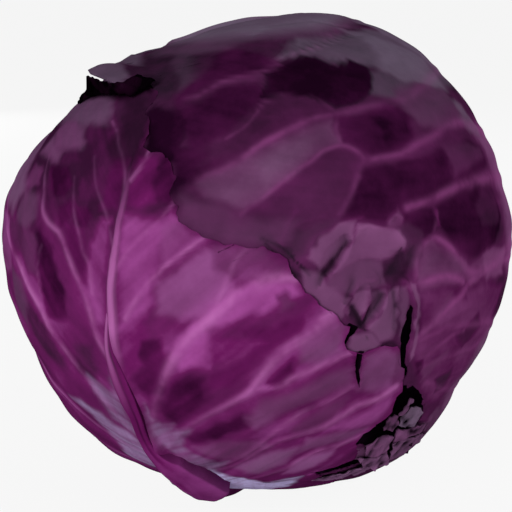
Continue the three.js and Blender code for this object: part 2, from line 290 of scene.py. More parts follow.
class Leaf:
    """A wrapper leaf, ruled by rows from its midrib to its margins."""

    def __init__(self, spine, left, right, left_bow=None):
        self.spine, self.left, self.right, self.left_bow = spine, left, right, left_bow
        steps, side = np.linspace(0, 1, MARGIN_STEPS), np.ones(MARGIN_STEPS)
        feet, end = np.linspace(-1, 1, TIP_STEPS + 2)[1:-1], np.ones(TIP_STEPS)
        margin = np.vstack([
            self.at(-side, steps), self.at(feet, end),
            self.at(side, steps[::-1]), self.at(feet[::-1], 0 * end),
        ])
        self.rims = [margin]
        self.middle = unit(self.at(np.array([-0.5, 0.5]), np.array([0.5, 0.5])).sum(0))
        self.flat_margin = self.lay_flat(margin)

    def side(self, line, share):
        return ragged_line(line, share) if len(line[0]) == 3 else smooth_line(line, share)

    def at(self, across, share):
        """Directions at a place across the leaf (-1 left, 1 right) and along it (0 to 1)."""
        spine = smooth_line(self.spine, share)
        left = turn_towards(spine, self.side(self.left, share), np.abs(across))
        right = turn_towards(spine, self.side(self.right, share), np.abs(across))
        if self.left_bow:
            bow = smooth_line(self.left_bow, share)
            edge = self.side(self.left, share)
            near = spring(2 * spine - bow, spine, bow, edge, np.clip(np.abs(across) * 2, 0, 1))
            far = spring(spine, bow, edge, 2 * edge - bow, np.clip(np.abs(across) * 2 - 1, 0, 1))
            left = np.where(np.abs(across)[:, None] < 0.5, near, far)
        return np.where(across[:, None] < 0, left, right)

    def lay_flat(self, directions):
        north = unit(np.array([0, 0, 1]) - self.middle * self.middle[2])
        east = np.cross(north, self.middle)
        flat = np.stack([directions @ east, directions @ north], -1)
        angle = np.arccos(np.clip(directions @ self.middle, -1, 1))
        return flat * (angle / np.maximum(np.linalg.norm(flat, axis=-1), 1e-9))[:, None]

    def holds(self, directions):
        return within_corners(*self.lay_flat(directions).T, self.flat_margin)

    def edge_distance(self, directions):
        nearest = np.full(len(directions), 9.0)
        for point in np.vstack(self.rims):
            nearest = np.minimum(nearest, np.sum((directions - point) ** 2, -1))
        return np.sqrt(nearest) * HALF_WIDTH

    def cover(self, directions):
        """How far the leaf hides what is under it, 1 to just past its edge, and how far it
        presses it in: fully inside, and less at its thin edge."""
        edge, held = self.edge_distance(directions), self.holds(directions)
        near = 1 - smooth_step(COVER_REACH, COVER_REACH + COVER_FADE, edge)
        inland = EDGE_PRESS + (1 - EDGE_PRESS) * smooth_step(0, EDGE_REACH, edge)
        return np.where(held, 1, near), np.where(held, inland, EDGE_PRESS * near)


class Lines:
    """Ribs or creases of one leaf: each has a width, a height and a strength along it."""

    def __init__(self):
        self.lines = []

    def add(self, path, width, height, strength):
        """path is directions; the other values are evenly spaced stations along it."""
        share = np.linspace(0, 1, len(path))
        values = [
            np.interp(share, np.linspace(0, 1, len(stations)), stations)
            for stations in (width, height, strength)
        ]
        self.lines.append((path, *values))

    def trace(self, rows, widen=1):
        for places, width, height, strength in rows:
            path = smooth_line(places, np.linspace(0, 1, 6 * len(places)))
            self.add(path, [widen * wide for wide in width], height, strength)
        return self

    def field(self, directions, sharp=2):
        """The rise, strength and glow at each direction, and the distance to a line."""
        rise, strength, glow = np.zeros((3, len(directions)))
        nearest = np.full(len(directions), 99.0)
        reach = LINE_REACH / HALF_WIDTH
        for path, width, height, light in self.lines:
            middle = unit(path.mean(0))
            spread = np.arccos(np.clip(path @ middle, -1, 1)).max() + reach
            near = np.flatnonzero(directions @ middle > math.cos(min(spread, 3.1)))
            if not len(near):
                continue
            start, step = path[:-1], np.diff(path, axis=0)
            offset = directions[near][:, None] - start
            share = np.clip((offset * step).sum(-1) / (step**2).sum(-1), 0, 1)
            gap = np.linalg.norm(offset - share[..., None] * step, axis=-1)
            best = gap.argmin(1)
            rows = np.arange(len(near))
            at = (best + share[rows, best]) / len(step)
            steps = np.linspace(0, 1, len(path))
            gap = gap[rows, best] * HALF_WIDTH
            wide = np.interp(at, steps, width)
            light = np.interp(at, steps, light)
            bell = np.exp(-((gap / wide) ** sharp))
            halo = np.exp(-((gap / (GLOW_REACH * wide + 1)) ** 2))
            lift = bell * np.interp(at, steps, height)
            rise[near] = np.where(np.abs(lift) > np.abs(rise[near]), lift, rise[near])
            strength[near] = np.maximum(strength[near], bell * light)
            glow[near] = np.maximum(glow[near], halo * light)
            nearest[near] = np.minimum(nearest[near], gap)
        return rise, strength, glow, nearest


def patches(directions, spots):
    """A sum of soft spots: (longitude, latitude, half width, half height, amount)."""
    longitude, latitude = degrees_of(directions)
    total = np.zeros(len(directions))
    for east, north, wide, tall, amount in spots:
        x = degrees_past(longitude, east) * math.cos(math.radians(north))
        total += amount * np.exp(-((x / wide) ** 2) - ((latitude - north) / tall) ** 2)
    return total


def panels(directions, seed, layers, shapes):
    """Paints soft-edged panels over the layers in turn. Each shape gives its value in every
    layer, how soft its edge is, in degrees, and its corners; the edges wander a little."""
    longitude, latitude = degrees_of(directions)
    level = np.maximum(np.cos(np.radians(latitude)), 0.2)
    drift, shiver, rise = (
        wide * ripple(directions, waves, seed + k) for k, (wide, waves) in enumerate(PANEL_WANDER)
    )
    longitude, latitude = longitude + (drift + shiver) / level, latitude + rise
    layers = [layer + 0 * latitude for layer in layers]
    for *values, soft, corners in shapes:
        corners = np.array(corners, float)
        middle = corners.mean(0)
        squeeze = math.cos(math.radians(middle[1]))
        corners = (corners - middle) * (squeeze, 1)
        x = degrees_past(longitude, middle[0]) * squeeze
        y = latitude - middle[1]
        near = np.flatnonzero(np.hypot(x, y) < np.hypot(*corners.T).max() + soft)
        x, y = x[near], y[near]
        gap = np.full(len(near), 99.0)
        for start, end in zip(corners, np.roll(corners, -1, axis=0)):
            step, east, north = end - start, x - start[0], y - start[1]
            share = np.clip((east * step[0] + north * step[1]) / (step @ step), 0, 1)
            gap = np.minimum(gap, np.hypot(east - share * step[0], north - share * step[1]))
        gap = np.where(within_corners(x, y, corners), gap, -gap)
        share = smooth_step(-soft, soft, gap)
        for layer, value in zip(layers, values):
            layer[near] += share * (value - layer[near])
    return layers


def read_places(mesh):
    places = np.empty(len(mesh.vertices) * 3)
    mesh.vertices.foreach_get("co", places)
    return places.reshape(-1, 3)


def places_at(directions, radius):
    """Places in millimetres, that far from the head's centre."""
    return directions * radius[:, None] + (0, 0, CENTRE_HEIGHT)


def write_places(mesh, places):
    mesh.vertices.foreach_set("co", (places * MM).ravel())
    mesh.update()


def write_skin(mesh, tone, vein=0, bloom=0, pale=0, dry=0, shade=0):
    """Keeps what the skin's material reads at each vertex, in two colour attributes."""
    for name, values in (("tones", (vein, tone, bloom, pale)), ("dryness_and_shade", (dry, shade, 0, 0))):
        values = np.clip(np.stack(np.broadcast_arrays(*values, tone)[:4], -1), 0, 1)
        mesh.color_attributes.new(name, "FLOAT_COLOR", "POINT").data.foreach_set(
            "color", values.ravel().astype(np.float32)
        )


def blade_mesh(name, columns, rows, cuts):
    """A flat leaf as a thin slab: its outer face is cut finely, its inner face coarsely."""
    bm = bmesh.new()
    bmesh.ops.create_grid(bm, x_segments=columns, y_segments=rows, size=1)
    bmesh.ops.solidify(bm, geom=bm.faces[:], thickness=0.1)
    middle = sum(v.co.z for v in bm.verts) / len(bm.verts)
    top = [f for f in bm.faces if all(v.co.z > middle for v in f.verts)]
    edges = list({edge for face in top for edge in face.edges})
    bmesh.ops.subdivide_edges(bm, edges=edges, cuts=cuts, use_grid_fill=True)
    bmesh.ops.recalc_face_normals(bm, faces=bm.faces[:])
    for face in bm.faces:
        face.smooth = len({v.co.z > middle for v in face.verts}) == 1
    mesh = finish_mesh(bm, name)
    x, y, z = read_places(mesh).T
    return mesh, x, y / 2 + 0.5, z > middle


def mix_colours(tree, share, first, second):
    values = {0: share, 6: first, 7: second}
    return add_node(tree, "ShaderNodeMix", values, data_type="RGBA").outputs[2]


def scaled(tree, value, low, high, to_low=0.0, to_high=1.0):
    return add_node(tree, "ShaderNodeMapRange", {
        "Value": value, "From Min": low, "From Max": high, "To Min": to_low, "To Max": to_high,
    }).outputs["Result"]


def combined(tree, operation, first, second):
    return add_node(
        tree, "ShaderNodeMath", {0: first, 1: second}, operation=operation
    ).outputs[0]


def cloudy(tree, place, scale, detail, roughness, distortion=0.0):
    return add_node(tree, "ShaderNodeTexNoise", {
        "Vector": place, "Scale": scale, "Detail": detail, "Roughness": roughness,
        "Distortion": distortion,
    }).outputs["Fac"]


def leaf_skin(name, deep, mid, bright, vein, bloom, pale):
    """Leaf skin. The mesh's tones attribute holds vein, tone, bloom and paleness, and a second
    attribute holds dryness and painted shade; speckle, streaks and faint fine veins come on top of them."""
    material, tree, shader = new_material(name)
    tones = add_node(tree, "ShaderNodeAttribute", attribute_name="tones")
    dryness_and_shade = add_node(tree, "ShaderNodeAttribute", attribute_name="dryness_and_shade")
    parts = add_node(tree, "ShaderNodeSeparateColor", {0: tones.outputs["Color"]})
    vein_share, tone, bloom_share = parts.outputs[:3]
    parts = add_node(tree, "ShaderNodeSeparateColor", {0: dryness_and_shade.outputs["Color"]})
    dry, shade = parts.outputs[:2]

    place = add_node(tree, "ShaderNodeTexCoord").outputs["Object"]
    cloud = cloudy(tree, place, CLOUD_SCALE, 5, 0.6)
    speckle = cloudy(tree, place, SPECKLE_SCALE, 3, 0.7)
    sway = add_node(tree, "ShaderNodeTexNoise", {"Vector": place, "Scale": SWAY_SCALE})
    sway = add_node(tree, "ShaderNodeVectorMath", {
        0: sway.outputs["Color"], 1: SWAY,
    }, operation="MULTIPLY")
    bent = add_node(tree, "ShaderNodeVectorMath", {0: place, 1: sway.outputs[0]}, operation="ADD")
    net = add_node(tree, "ShaderNodeTexVoronoi", {
        "Vector": bent.outputs[0], "Scale": VEIN_NET_SCALE,
    }, feature="DISTANCE_TO_EDGE")
    fine_veins = scaled(tree, net.outputs["Distance"], 0.0, 0.12, 1.0, 0.0)
    parts = add_node(tree, "ShaderNodeSeparateXYZ", {0: place}).outputs
    around = combined(tree, "ARCTAN2", parts["X"], combined(tree, "MULTIPLY", parts["Y"], -1.0))
    strip = add_node(tree, "ShaderNodeCombineXYZ", {
        "X": combined(tree, "MULTIPLY", around, STREAKS_AROUND),
        "Y": combined(tree, "MULTIPLY", parts["Z"], STREAKS_UP),
    }).outputs[0]
    streak = scaled(tree, cloudy(tree, strip, 1, 4, 0.55, 0.4), 0.3, 0.6, 0.75)

    uneven = combined(tree, "MULTIPLY", combined(tree, "SUBTRACT", cloud, 0.5), 0.6)
    tone = combined(tree, "ADD", tone, uneven)
    low = mix_colours(tree, scaled(tree, tone, 0.0, 0.5), deep, mid)
    colour = mix_colours(tree, scaled(tree, tone, 0.5, 1.0), low, bright)
    waxed = combined(tree, "MULTIPLY", bloom_share, scaled(tree, cloud, 0.3, 0.7, 0.7, 1.0))
    streaked = combined(tree, "MULTIPLY", tones.outputs["Alpha"], streak)
    # The last coat is painted shade, which darkens creases, hollows, gaps and undersides towards near
    # black.
    for share, coat in (
        (waxed, bloom), (vein_share, vein), (streaked, pale), (dry, DRY_COLOUR),
        (shade, PAINTED_SHADE_COLOUR),
    ):
        colour = mix_colours(tree, share, colour, coat)
    tree.links.new(colour, shader.inputs["Base Color"])

    rough = combined(tree, "ADD", scaled(tree, speckle, 0.3, 0.7, 0.4, 0.5),
                     combined(tree, "MULTIPLY", bloom_share, 0.2))
    tree.links.new(rough, shader.inputs["Roughness"])
    shader.inputs["Specular IOR Level"].default_value = 0.0
    grain = combined(tree, "ADD", combined(tree, "MULTIPLY", cloud, 0.9),
                     combined(tree, "MULTIPLY", speckle, 0.12))
    grain = combined(tree, "ADD", grain, combined(tree, "MULTIPLY", fine_veins, 0.06))
    bump = add_node(tree, "ShaderNodeBump", {
        "Height": grain, "Strength": 0.3, "Distance": GRAIN_DEPTH,
    })
    tree.links.new(bump.outputs[0], shader.inputs["Normal"])
    return material


def build_leaf(name, leaf, above, lines, grid, shape, warp=EVEN):
    """One leaf's mesh, shaped under the leaves above it. lines are its midrib, its side ribs
    and its creases; shape gives what it adds to the head's form, and its free lift."""
    mesh, x, y, is_outer = blade_mesh(name, *grid)
    directions = leaf.at(np.interp(x, *warp[0]), np.interp(y, *warp[1]))
    bare, pressed = np.ones(len(x)), np.zeros(len(x))
    for upper in above:
        hidden, press = upper.cover(directions)
        bare, pressed = bare * (1 - hidden), pressed + press
    midrib, ribs, creases = lines
    keel = midrib.field(directions, sharp=5)[0]
    rise, _, _, nearest = ribs.field(directions)
    crease = creases.field(directions, sharp=1)[0]
    puff = PUFF * (1 - np.exp(-((nearest / PUFF_REACH) ** 2)))
    edge = leaf.edge_distance(directions)
    extra, lift = shape(directions, edge)
    inland = bare * smooth_step(0, COVER_REACH, edge)
    extra = extra + np.maximum(CREASE_RISE * crease, -CREASE_DEPTH)
    base = head_radius(directions) - pressed * (BLADE + LEAF_GAP) + extra * bare + lift
    thick = np.interp(edge, (0, EDGE_REACH), (THIN_EDGE * BLADE, BLADE))
    outer = base + (np.maximum(RIB_RISE * rise, keel) + puff - PUFF) * inland
    inner = base - PUFF * inland - thick
    write_places(mesh, places_at(directions, np.where(is_outer, outer, inner)))
    return add_object(name, mesh)


def ragged_outline(places, seed, jitter=0.22):
    """A closed outline through the places, with small teeth between them."""
    draw = np.random.default_rng(seed)
    corners = toward(places)
    points = []
    for start, end in zip(corners, np.roll(corners, -1, axis=0)):
        count = max(1, round(np.degrees(np.linalg.norm(end - start)) / TOOTH_LENGTH))
        for step in range(count):
            wobble = draw.normal(0, math.radians(jitter), 3) * (step > 0)
            points.append(unit(start + (end - start) * step / count + wobble))
    return np.array(points)


def cut_through(piece, outlines):
    """Cuts ragged holes through a blade with plugs that run in towards the head's centre."""
    for outline in outlines:
        bm = bmesh.new()
        foot = [bm.verts.new(point * PLUG_FOOT * MM) for point in outline]
        grown = bmesh.ops.extrude_face_region(bm, geom=[bm.faces.new(foot)])
        for item in grown["geom"]:
            if isinstance(item, bmesh.types.BMVert):
                item.co *= PLUG_TOP / PLUG_FOOT
        bmesh.ops.translate(bm, verts=bm.verts[:], vec=HEAD_CENTRE)
        bmesh.ops.recalc_face_normals(bm, faces=bm.faces[:])
        plug_mesh = finish_mesh(bm, "plug")
        plug = add_object("plug", plug_mesh)
        cut = piece.modifiers.new("tear", "BOOLEAN")
        cut.operation = "DIFFERENCE"
        cut.solver = "MANIFOLD"
        cut.object = plug
        graph = bpy.context.evaluated_depsgraph_get()
        torn = bpy.data.meshes.new_from_object(piece.evaluated_get(graph))
        piece.modifiers.clear()
        whole, piece.data = piece.data, torn
        torn.name = piece.name
        torn.materials.clear()
        bpy.data.objects.remove(plug)
        for mesh in (whole, plug_mesh):
            bpy.data.meshes.remove(mesh)


def paint_leaf(piece, lines, vein_share, paint):
    """Writes a leaf's tones, dryness and painted shade from where each vertex lies on the head, with
    painted light on its crease ridges and painted shade in their valleys.
    """
    directions = unit(read_places(piece.data) / MM - (0, 0, CENTRE_HEIGHT))
    midrib, ribs, creases = lines
    keel = midrib.field(directions, sharp=4)[1]
    _, vein, glow, _ = ribs.field(directions)
    fold = creases.field(directions, sharp=1)[0]
    tone, bloom, pale, dry, shade = paint(directions, glow)
    # Painted shade in the crease valleys.
    shade = shade + np.clip(-0.55 * fold - 0.12, 0, 0.9)
    broken = 0.8 + ripple(directions, 12, 60) + 0.35 * ripple(directions, 45, 61)
    vein = np.maximum(vein * vein_share * np.clip(broken, 0.2, 1.1), keel)
    # Adding the crease height to the tone is painted light on the ridges and painted shade in the
    # valleys.
    write_skin(piece.data, tone + 0.25 * fold, vein, bloom, pale, dry, shade)


def blotches(directions, spine_longitude, slope, seed, fine=1):
    """Uneven patches, drawn out along ribs that climb by that slope from the midrib."""
    longitude, latitude = degrees_of(directions)
    side = degrees_past(longitude, spine_longitude)
    climb = latitude - slope * np.abs(side)
    drawn = np.stack([np.abs(side) / 15, climb * fine / 5.5, (side + spine_longitude) / 70], -1)
    return ripple(drawn, 1, seed) + 0.5 * ripple(drawn, 2.3, seed + 1)


FRONT_SPINE = [
    (-17, -75), (-22, -58), (-24, -45), (-25.5, -33), (-27, -22), (-28, -12), (-28.7, -3), (-29, 7),
    (-28.6, 17), (-30, 30), (-41, 45),
]
FRONT_LEFT = [
    (-75, -75), (-98, -56), (-106, -28), (-106, -4), (-102, 16), (-95, 29), (-86, 36.5), (-77, 41),
    (-68, 43.5), (-58, 44.5), (-47, 46.3),
]
FRONT_RIGHT = [
    (0, 42, -75), (0.08, 33, -56), (0.12, 24, -48), (0.14, 19, -44.5), (0.155, 17.5, -42.3),
    (0.17, 20, -40), (0.18, 24, -39.3), (0.2, 28, -38.5), (0.225, 26.5, -34), (0.24, 25, -31),
    (0.247, 27.4, -28.5), (0.255, 28.2, -26), (0.263, 30.5, -24), (0.268, 31.3, -22), (0.275, 31.2, -19),
    (0.281, 32.4, -17.5), (0.289, 31.2, -15.5), (0.297, 31, -13.5), (0.302, 29.8, -10),
    (0.311, 28.5, -7.3), (0.316, 26, -6), (0.322, 22.5, -6.8), (0.33, 20, -7.6), (0.341, 18.2, -6.6),
    (0.352, 17, -5), (0.369, 17.6, -3), (0.38, 18, -1.3), (0.397, 15.8, -0.6), (0.408, 14.2, 1.2),
    (0.419, 13.5, 2), (0.43, 12.2, 2.8), (0.443, 11, 4.2), (0.461, 9.5, 5.4), (0.48, 8, 7.3),
    (0.499, 7.2, 8.4), (0.511, 6, 9.8), (0.53, 5.6, 11.6), (0.555, 4, 12.9), (0.586, 2, 14.3),
    (0.63, -2, 14.4), (0.68, -8, 15.3), (0.716, -12.5, 17), (0.746, -15, 19), (0.776, -16.8, 22),
    (0.8, -17.8, 25.5), (0.83, -18.4, 29.5), (0.85, -20.5, 31.4), (0.865, -24.5, 32.2),
    (0.88, -26.6, 33.5), (0.9, -27, 35.5), (0.92, -28.3, 38.5), (0.935, -29.5, 40.4), (0.95, -31, 41.6),
    (0.965, -29.6, 44), (0.98, -31, 46), (1, -35, 48.4),
]
FRONT_SPLIT = [
    (19.6, -7), (21, -7.4), (20.9, -10), (20.9, -12.5), (21.2, -15), (20.3, -13.2), (19.6, -11),
    (19.4, -9),
]
front = Leaf(FRONT_SPINE, FRONT_LEFT, FRONT_RIGHT)
front_tears = [ragged_outline(FRONT_SPLIT, 21, 0.12)]
front.rims += front_tears

FRONT_MIDRIB = (
    FRONT_SPINE, (5.5, 4.5, 3.6, 2.4, 1.8, 1.5, 1.4, 1.4, 1.1, 0.9, 0.7),
    (2, 4, 3.6, 2, 1, 0.7, 1, 1.2, 0.7, 0.1, 0), (0, 0, 0, 0, 0, 0, 0.6, 0.6, 0.3, 0, 0),
)
FRONT_VEINS = (
    ([(-28, 9), (-24, 14.5), (-20, 18.5), (-17.2, 22)], (0.9, 0.6), (0.6, 0.3), (0.5, 0.3)),
    ([(-26, -1), (-23.5, 3), (-21.5, 6), (-19.7, 8), (-17.3, 10.5), (-14.5, 12.7), (-10.3, 15.8)],
        (1, 0.6), (0.8, 0.3), (0.4, 0.75)),
    ([(-25, -30), (-22, -20), (-19.5, -15), (-16.7, -9), (-11.2, -2), (-6, 2.7), (-1, 7), (4, 8.4),
        (7.3, 8.4)], (1.3, 1.3, 1.6, 2, 1.2), (1, 1.2, 1, 0.6, 0.3), (0.25, 0.4, 0.95, 0.9, 0.8)),
    ([(-8, 1.5), (-5, 9), (-4, 11.5), (-1.5, 14.5)], (1, 0.6), (0.4, 0.2), (0.4, 0.2)),
    ([(-22, -33), (-16, -26), (-9.5, -20.5), (-5, -17.5), (-1, -14.5), (2, -10), (4.7, -6.5), (8, -4),
        (11, -1.8), (14, 1.2)], (0.9, 1, 1.3, 1.4, 1.6), (0.6, 0.9, 0.9, 0.8, 0.4),
        (0.1, 0.4, 0.7, 0.7, 0.95)),
    ([(0, -14.3), (5, -13.8), (7, -12), (12, -9.7), (15.5, -8.3), (18, -6.8)], (0.9, 1, 0.9), (0.5, 0.4),
        (0.45, 0.6, 0.9)),
    ([(-14, -41), (-2, -33), (3, -27), (5.5, -24), (9, -21), (12.5, -19), (16, -17.3), (20, -14.8)],
        (0.8, 1, 0.8), (0.5, 0.8, 0.3), (0.1, 0.6, 0.5)),
    ([(-12, -42), (-1, -34), (5, -28.5), (9.5, -27), (14.5, -25), (18.5, -22.3), (22, -20), (26.5, -18.8),
        (30.3, -16.5)], (0.8, 1, 1.3, 1.2), (0.5, 0.9, 0.9, 0.4), (0.1, 0.5, 0.9, 0.95)),
    ([(-4, -46), (8, -39), (11, -36), (16, -32.5), (21.5, -31), (26, -29)], (0.9, 1.1, 0.8),
        (0.5, 0.7, 0.4), (0.2, 0.6, 0.6)),
    ([(-30, -11), (-33, -6), (-35, 0), (-37, 4), (-40.5, 9), (-44, 13), (-49, 15), (-52, 17), (-54, 20.5),
        (-57, 24), (-60, 28)], (1.2, 1, 0.6), (0.9, 0.6, 0.3), (0.5, 0.7, 0.25)),
    ([(-34, 3), (-35, 8.5), (-37, 11), (-38.5, 14), (-42, 19), (-45, 25)], (0.8, 0.5), (0.5, 0.2),
        (0.5, 0.15)),
    ([(-28, -34), (-36, -22), (-41, -14.5), (-45, -10.5), (-48, -7), (-50, -4), (-55, 0), (-60, 4.5),
        (-66, 7), (-75, 12), (-84, 20)], (1, 1.3, 1.2, 0.8), (0.8, 1, 0.7, 0.4), (0.1, 0.8, 1, 0.5)),
    ([(-46, -10), (-50, -2), (-51, 6), (-50, 10)], (0.8, 0.5), (0.4, 0.2), (0.3, 0.1)),
    ([(-29, 12), (-32, 18), (-37, 24), (-41, 30)], (0.7, 0.5), (0.5, 0.2), (0.25, 0.1)),
    ([(-28.8, 20), (-29.9, 26.9), (-32.4, 30.6), (-34.6, 32.8), (-37.3, 35.9), (-40.9, 38.3)], (0.7, 0.6),
        (0.4, 0.4), (0.3, 0.2, 0.6)),
    ([(-28.2, 26), (-26.5, 29), (-25, 33)], (0.8, 0.6), (0.4, 0.2), (0.5, 0.6)),
    ([(-27, -42), (-40, -34), (-52, -26), (-64, -18), (-76, -8), (-90, 2)], (1, 1.2, 0.8), (0.8, 0.4),
        (0.1, 0.7, 0.3)),
    ([(-27, -50), (-45, -46), (-62, -38), (-78, -28), (-94, -16)], (1, 1.2, 0.8), (0.7, 0.4),
        (0.1, 0.6, 0.3)),
)
FRONT_CREASE = ([(-20, -56), (-19, -49), (-20.5, -42), (-22.5, -36)], (1.2, 1), (-1.3, -0.3), (1, 1))
front_lines = [Lines().trace(rows) for rows in ([FRONT_MIDRIB], FRONT_VEINS, [FRONT_CREASE])]


def front_shape(directions, edge):
    buckle = 0.5 * ripple(directions, 9, 31)
    curl = 0.9 * patches(directions, [(12, 5, 8, 8, 1), (20, -10, 6, 8, 0.8)]) - 0.3
    return buckle + curl * np.exp(-((edge / 2) ** 2)), 0


FRONT_RIBS = (-28, 0.85)
FRONT_TONE = 0.42
FRONT_CONTRAST = 1.12
FRONT_PANELS = [
    (0.12, 0.65, 2, [(-48, 45), (-43, 41), (-42, 37.5), (-49, 36), (-58, 35), (-70, 36), (-80, 40),
        (-62, 45)]),
    (0, 0.1, 1, [(-44, 46), (-41, 40), (-38.5, 36), (-35, 31), (-29.5, 30.5), (-28, 36), (-30, 42),
        (-36, 49)]),
    (0.12, 0.05, 1.2, [(-48, 36.5), (-39, 36), (-36.5, 31), (-41, 27.5), (-46, 27.5), (-53, 25.5),
        (-51, 29.5), (-45.5, 31), (-47, 34)]),
    (0.35, 0.5, 1.2, [(-60, 37), (-49, 35.5), (-46, 33), (-46, 31), (-51, 30), (-58, 30), (-64, 33)]),
    (0.45, 0.6, 1.5, [(-64, 32), (-53, 29.5), (-53, 26.5), (-58, 27), (-66, 28)]),
    (0.08, 0, 0.8, [(-55.5, 26), (-48, 26.5), (-44, 23.5), (-45.5, 20.7), (-49.5, 20), (-52.5, 21.5)]),
    (0.32, 0.25, 0.9, [(-64, 25), (-59, 24.5), (-57, 21.5), (-60, 19.5), (-65, 20)]),
    (0.4, 0.85, 2, [(-95, 38), (-78, 37), (-70, 29), (-67, 23), (-64, 19), (-67, 14), (-95, 14)]),
    (0.25, 0.4, 1.2, [(-63, 19), (-55, 19.5), (-53.5, 15), (-56, 12), (-63, 12)]),
    (0.22, 0.15, 1.2, [(-68, 12), (-62, 13), (-57, 11), (-57, 6), (-62, 7), (-66, 8)]),
    (0.6, 0.3, 1, [(-84, 12), (-68.5, 12), (-66, 6), (-64, 2), (-70, 0), (-76, 5)]),
    (0.1, 0, 0.8, [(-41, 19), (-37, 20), (-35.3, 17.5), (-37, 15.3), (-41, 15.5)]),
    (0.15, 0, 0.8, [(-46, 18.5), (-43, 20.5), (-41.5, 19), (-42, 15.5), (-45, 14)]),
    (0.14, 0.05, 1.2, [(-43, 27.5), (-36, 28.5), (-33.5, 23), (-36, 20.5), (-40.5, 20.5), (-42, 23)]),
    (0.22, 0, 1.2, [(-35, 30), (-29.5, 30), (-29.5, 20), (-34.5, 19), (-34, 24)]),
    (0.4, 0, 1, [(-27.5, 31), (-22, 31), (-21, 22), (-25, 20.5), (-28, 21)]),
    (0.12, 0, 1, [(-21.5, 31.5), (-19, 30.6), (-17, 25.6), (-17, 22), (-21.5, 22.5), (-22.3, 27)]),
    (0.65, 0.08, 1.5, [(-28, 19), (-24, 18.5), (-20, 19), (-17.5, 21.5), (-15, 19), (-19, 13), (-20, 8),
        (-20, 3), (-23, -1), (-27.5, -3)]),
    (0.62, 0.25, 1.5, [(-19, 18), (-15, 18.5), (-10, 15.5), (-14, 12), (-19, 8.5)]),
    (0.72, 0.42, 1.5, [(-19, 7), (-10, 14), (-5, 13), (-4, 6), (-9, 1.5), (-14, 0), (-19, 1)]),
    (0.42, 0.3, 1.2, [(-8, 14), (1, 14), (6, 10), (4, 8.5), (-3, 8), (-8, 10)]),
    (0.79, 0.05, 1.2, [(-16, -8), (-12, -1), (-6, 5), (0, 7.5), (7, 7.5), (9, 5.5), (4, 4), (0, 1.5),
        (-5, 0), (-9, -2), (-12, -7)]),
    (0.35, 0.2, 0.8, [(4, 5), (6, 6), (7, 4), (5, 2.5)]),
    (0.33, 0, 1, [(-3, -1.5), (3, -0.5), (9, 1.5), (9, -2), (6, -4), (0, -8), (-5, -13.5), (-10, -14.5),
        (-9, -10.5), (-2, -7), (0, -4)]),
    (0.52, 0, 1, [(-9, -4), (-4, -3), (2, -4), (-3, -6.5), (-9, -8)]),
    (0.72, 0, 1.2, [(-16, -6), (-12, -1.5), (-9, -3), (-9, -9.5), (-15, -10.5)]),
    (0.5, 0, 1.2, [(-27, -2), (-22, 0), (-21, -4), (-23, -10), (-27, -14)]),
    (0.16, 0, 1, [(-22.5, -5), (-18, -4), (-17, -9), (-19, -16), (-23, -18), (-26, -14), (-23, -10)]),
    (0.18, 0, 1.5, [(-17, -12.5), (-10, -11.5), (-9.5, -17), (-14, -22), (-18, -25), (-21, -21)]),
    (0.13, 0, 1, [(-3, -20), (3, -20), (-2, -24), (-8, -27.5), (-15, -30), (-16.5, -28.5), (-9, -24)]),
    (0.65, 0.1, 1, [(-4, -17), (0, -16), (4, -14), (2, -12.5), (-1, -14)]),
    (0.53, 0.55, 1.2, [(8, -4), (14, 1), (17, -1), (16.5, -5), (18, -7), (12, -9), (9, -8)]),
    (0.2, 0, 0.8, [(2, -13), (5, -9), (7, -7), (7.5, -10.5), (5, -13)]),
    (0.48, 0.42, 1.2, [(1, -17), (6, -15.5), (12, -12.5), (19, -9.5), (20, -14), (14, -17), (9, -18.5),
        (4, -21.5), (0, -24), (-2, -21)]),
    (0.25, 0, 0.8, [(9, -19), (14, -17.5), (12, -20), (8, -22.5), (5, -24)]),
    (0.38, 0.3, 1, [(8, -24.5), (14, -19.5), (20, -17), (18, -22), (13, -25.5), (8, -27)]),
    (0.58, 0.55, 1, [(21, -8), (26, -6.5), (29.5, -9), (31, -16), (26, -17.5), (21, -16)]),
    (0.35, 0.4, 0.6, [(28.5, -8), (31, -8), (32, -16), (29, -16)]),
    (0.68, 0.15, 1, [(22, -22.5), (30, -19), (30.5, -22), (27, -26), (20, -26), (16, -26)]),
    (0.6, 0.55, 1, [(12, -28), (20, -26.5), (26, -27), (24, -29.5), (16, -31), (10, -33)]),
    (0.5, 0.35, 1.2, [(-15, -31), (-6, -28), (1, -28), (4, -30.5), (-1, -34.5), (-8, -35.5)]),
    (0.72, 0.75, 1.3, [(1, -34), (6, -31.5), (10, -31), (7, -37), (0, -41), (-6, -39)]),
    (0.85, 0.8, 1, [(10, -36), (16, -33.5), (20, -33), (16, -38), (8, -42)]),
    (0.6, 0.1, 1, [(-35.5, 12), (-33.5, 17.5), (-31, 18), (-31, -3), (-33, -3), (-35.5, 4)]),
    (0.3, 0, 0.9, [(-43, 15.5), (-38, 15), (-35.5, 8), (-36.5, 5), (-41, 10.5)]),
    (0.12, 0, 1, [(-51, 14), (-46, 10), (-41.5, 2.5), (-40, -3), (-43, -4), (-48.5, -5), (-50, 4),
        (-53, 10)]),
    (0.35, 0.05, 1, [(-40, 2), (-36.5, -0.5), (-33, -7), (-36, -16), (-42, -14), (-45, -9), (-41, -4)]),
    (0.2, 0.1, 1, [(-40, -9), (-35, -8), (-34, -13), (-37, -17), (-42, -15)]),
    (0.14, 0.1, 0.9, [(-56, -3), (-52, -4.5), (-48, -10), (-44, -16.5), (-49, -17), (-54, -10),
        (-57, -6)]),
    (0.22, 0.4, 1.2, [(-64, 3), (-58, 1), (-56, -4), (-58, -9), (-63, -5)]),
    (0.43, 0.05, 1.5, [(-50, -15), (-42, -16), (-38, -20), (-42, -28), (-52, -30), (-56, -22)]),
    (0.3, 0.2, 1, [(-57, 12), (-52, 11), (-51, 4), (-55, 3), (-58, 6)]),
]
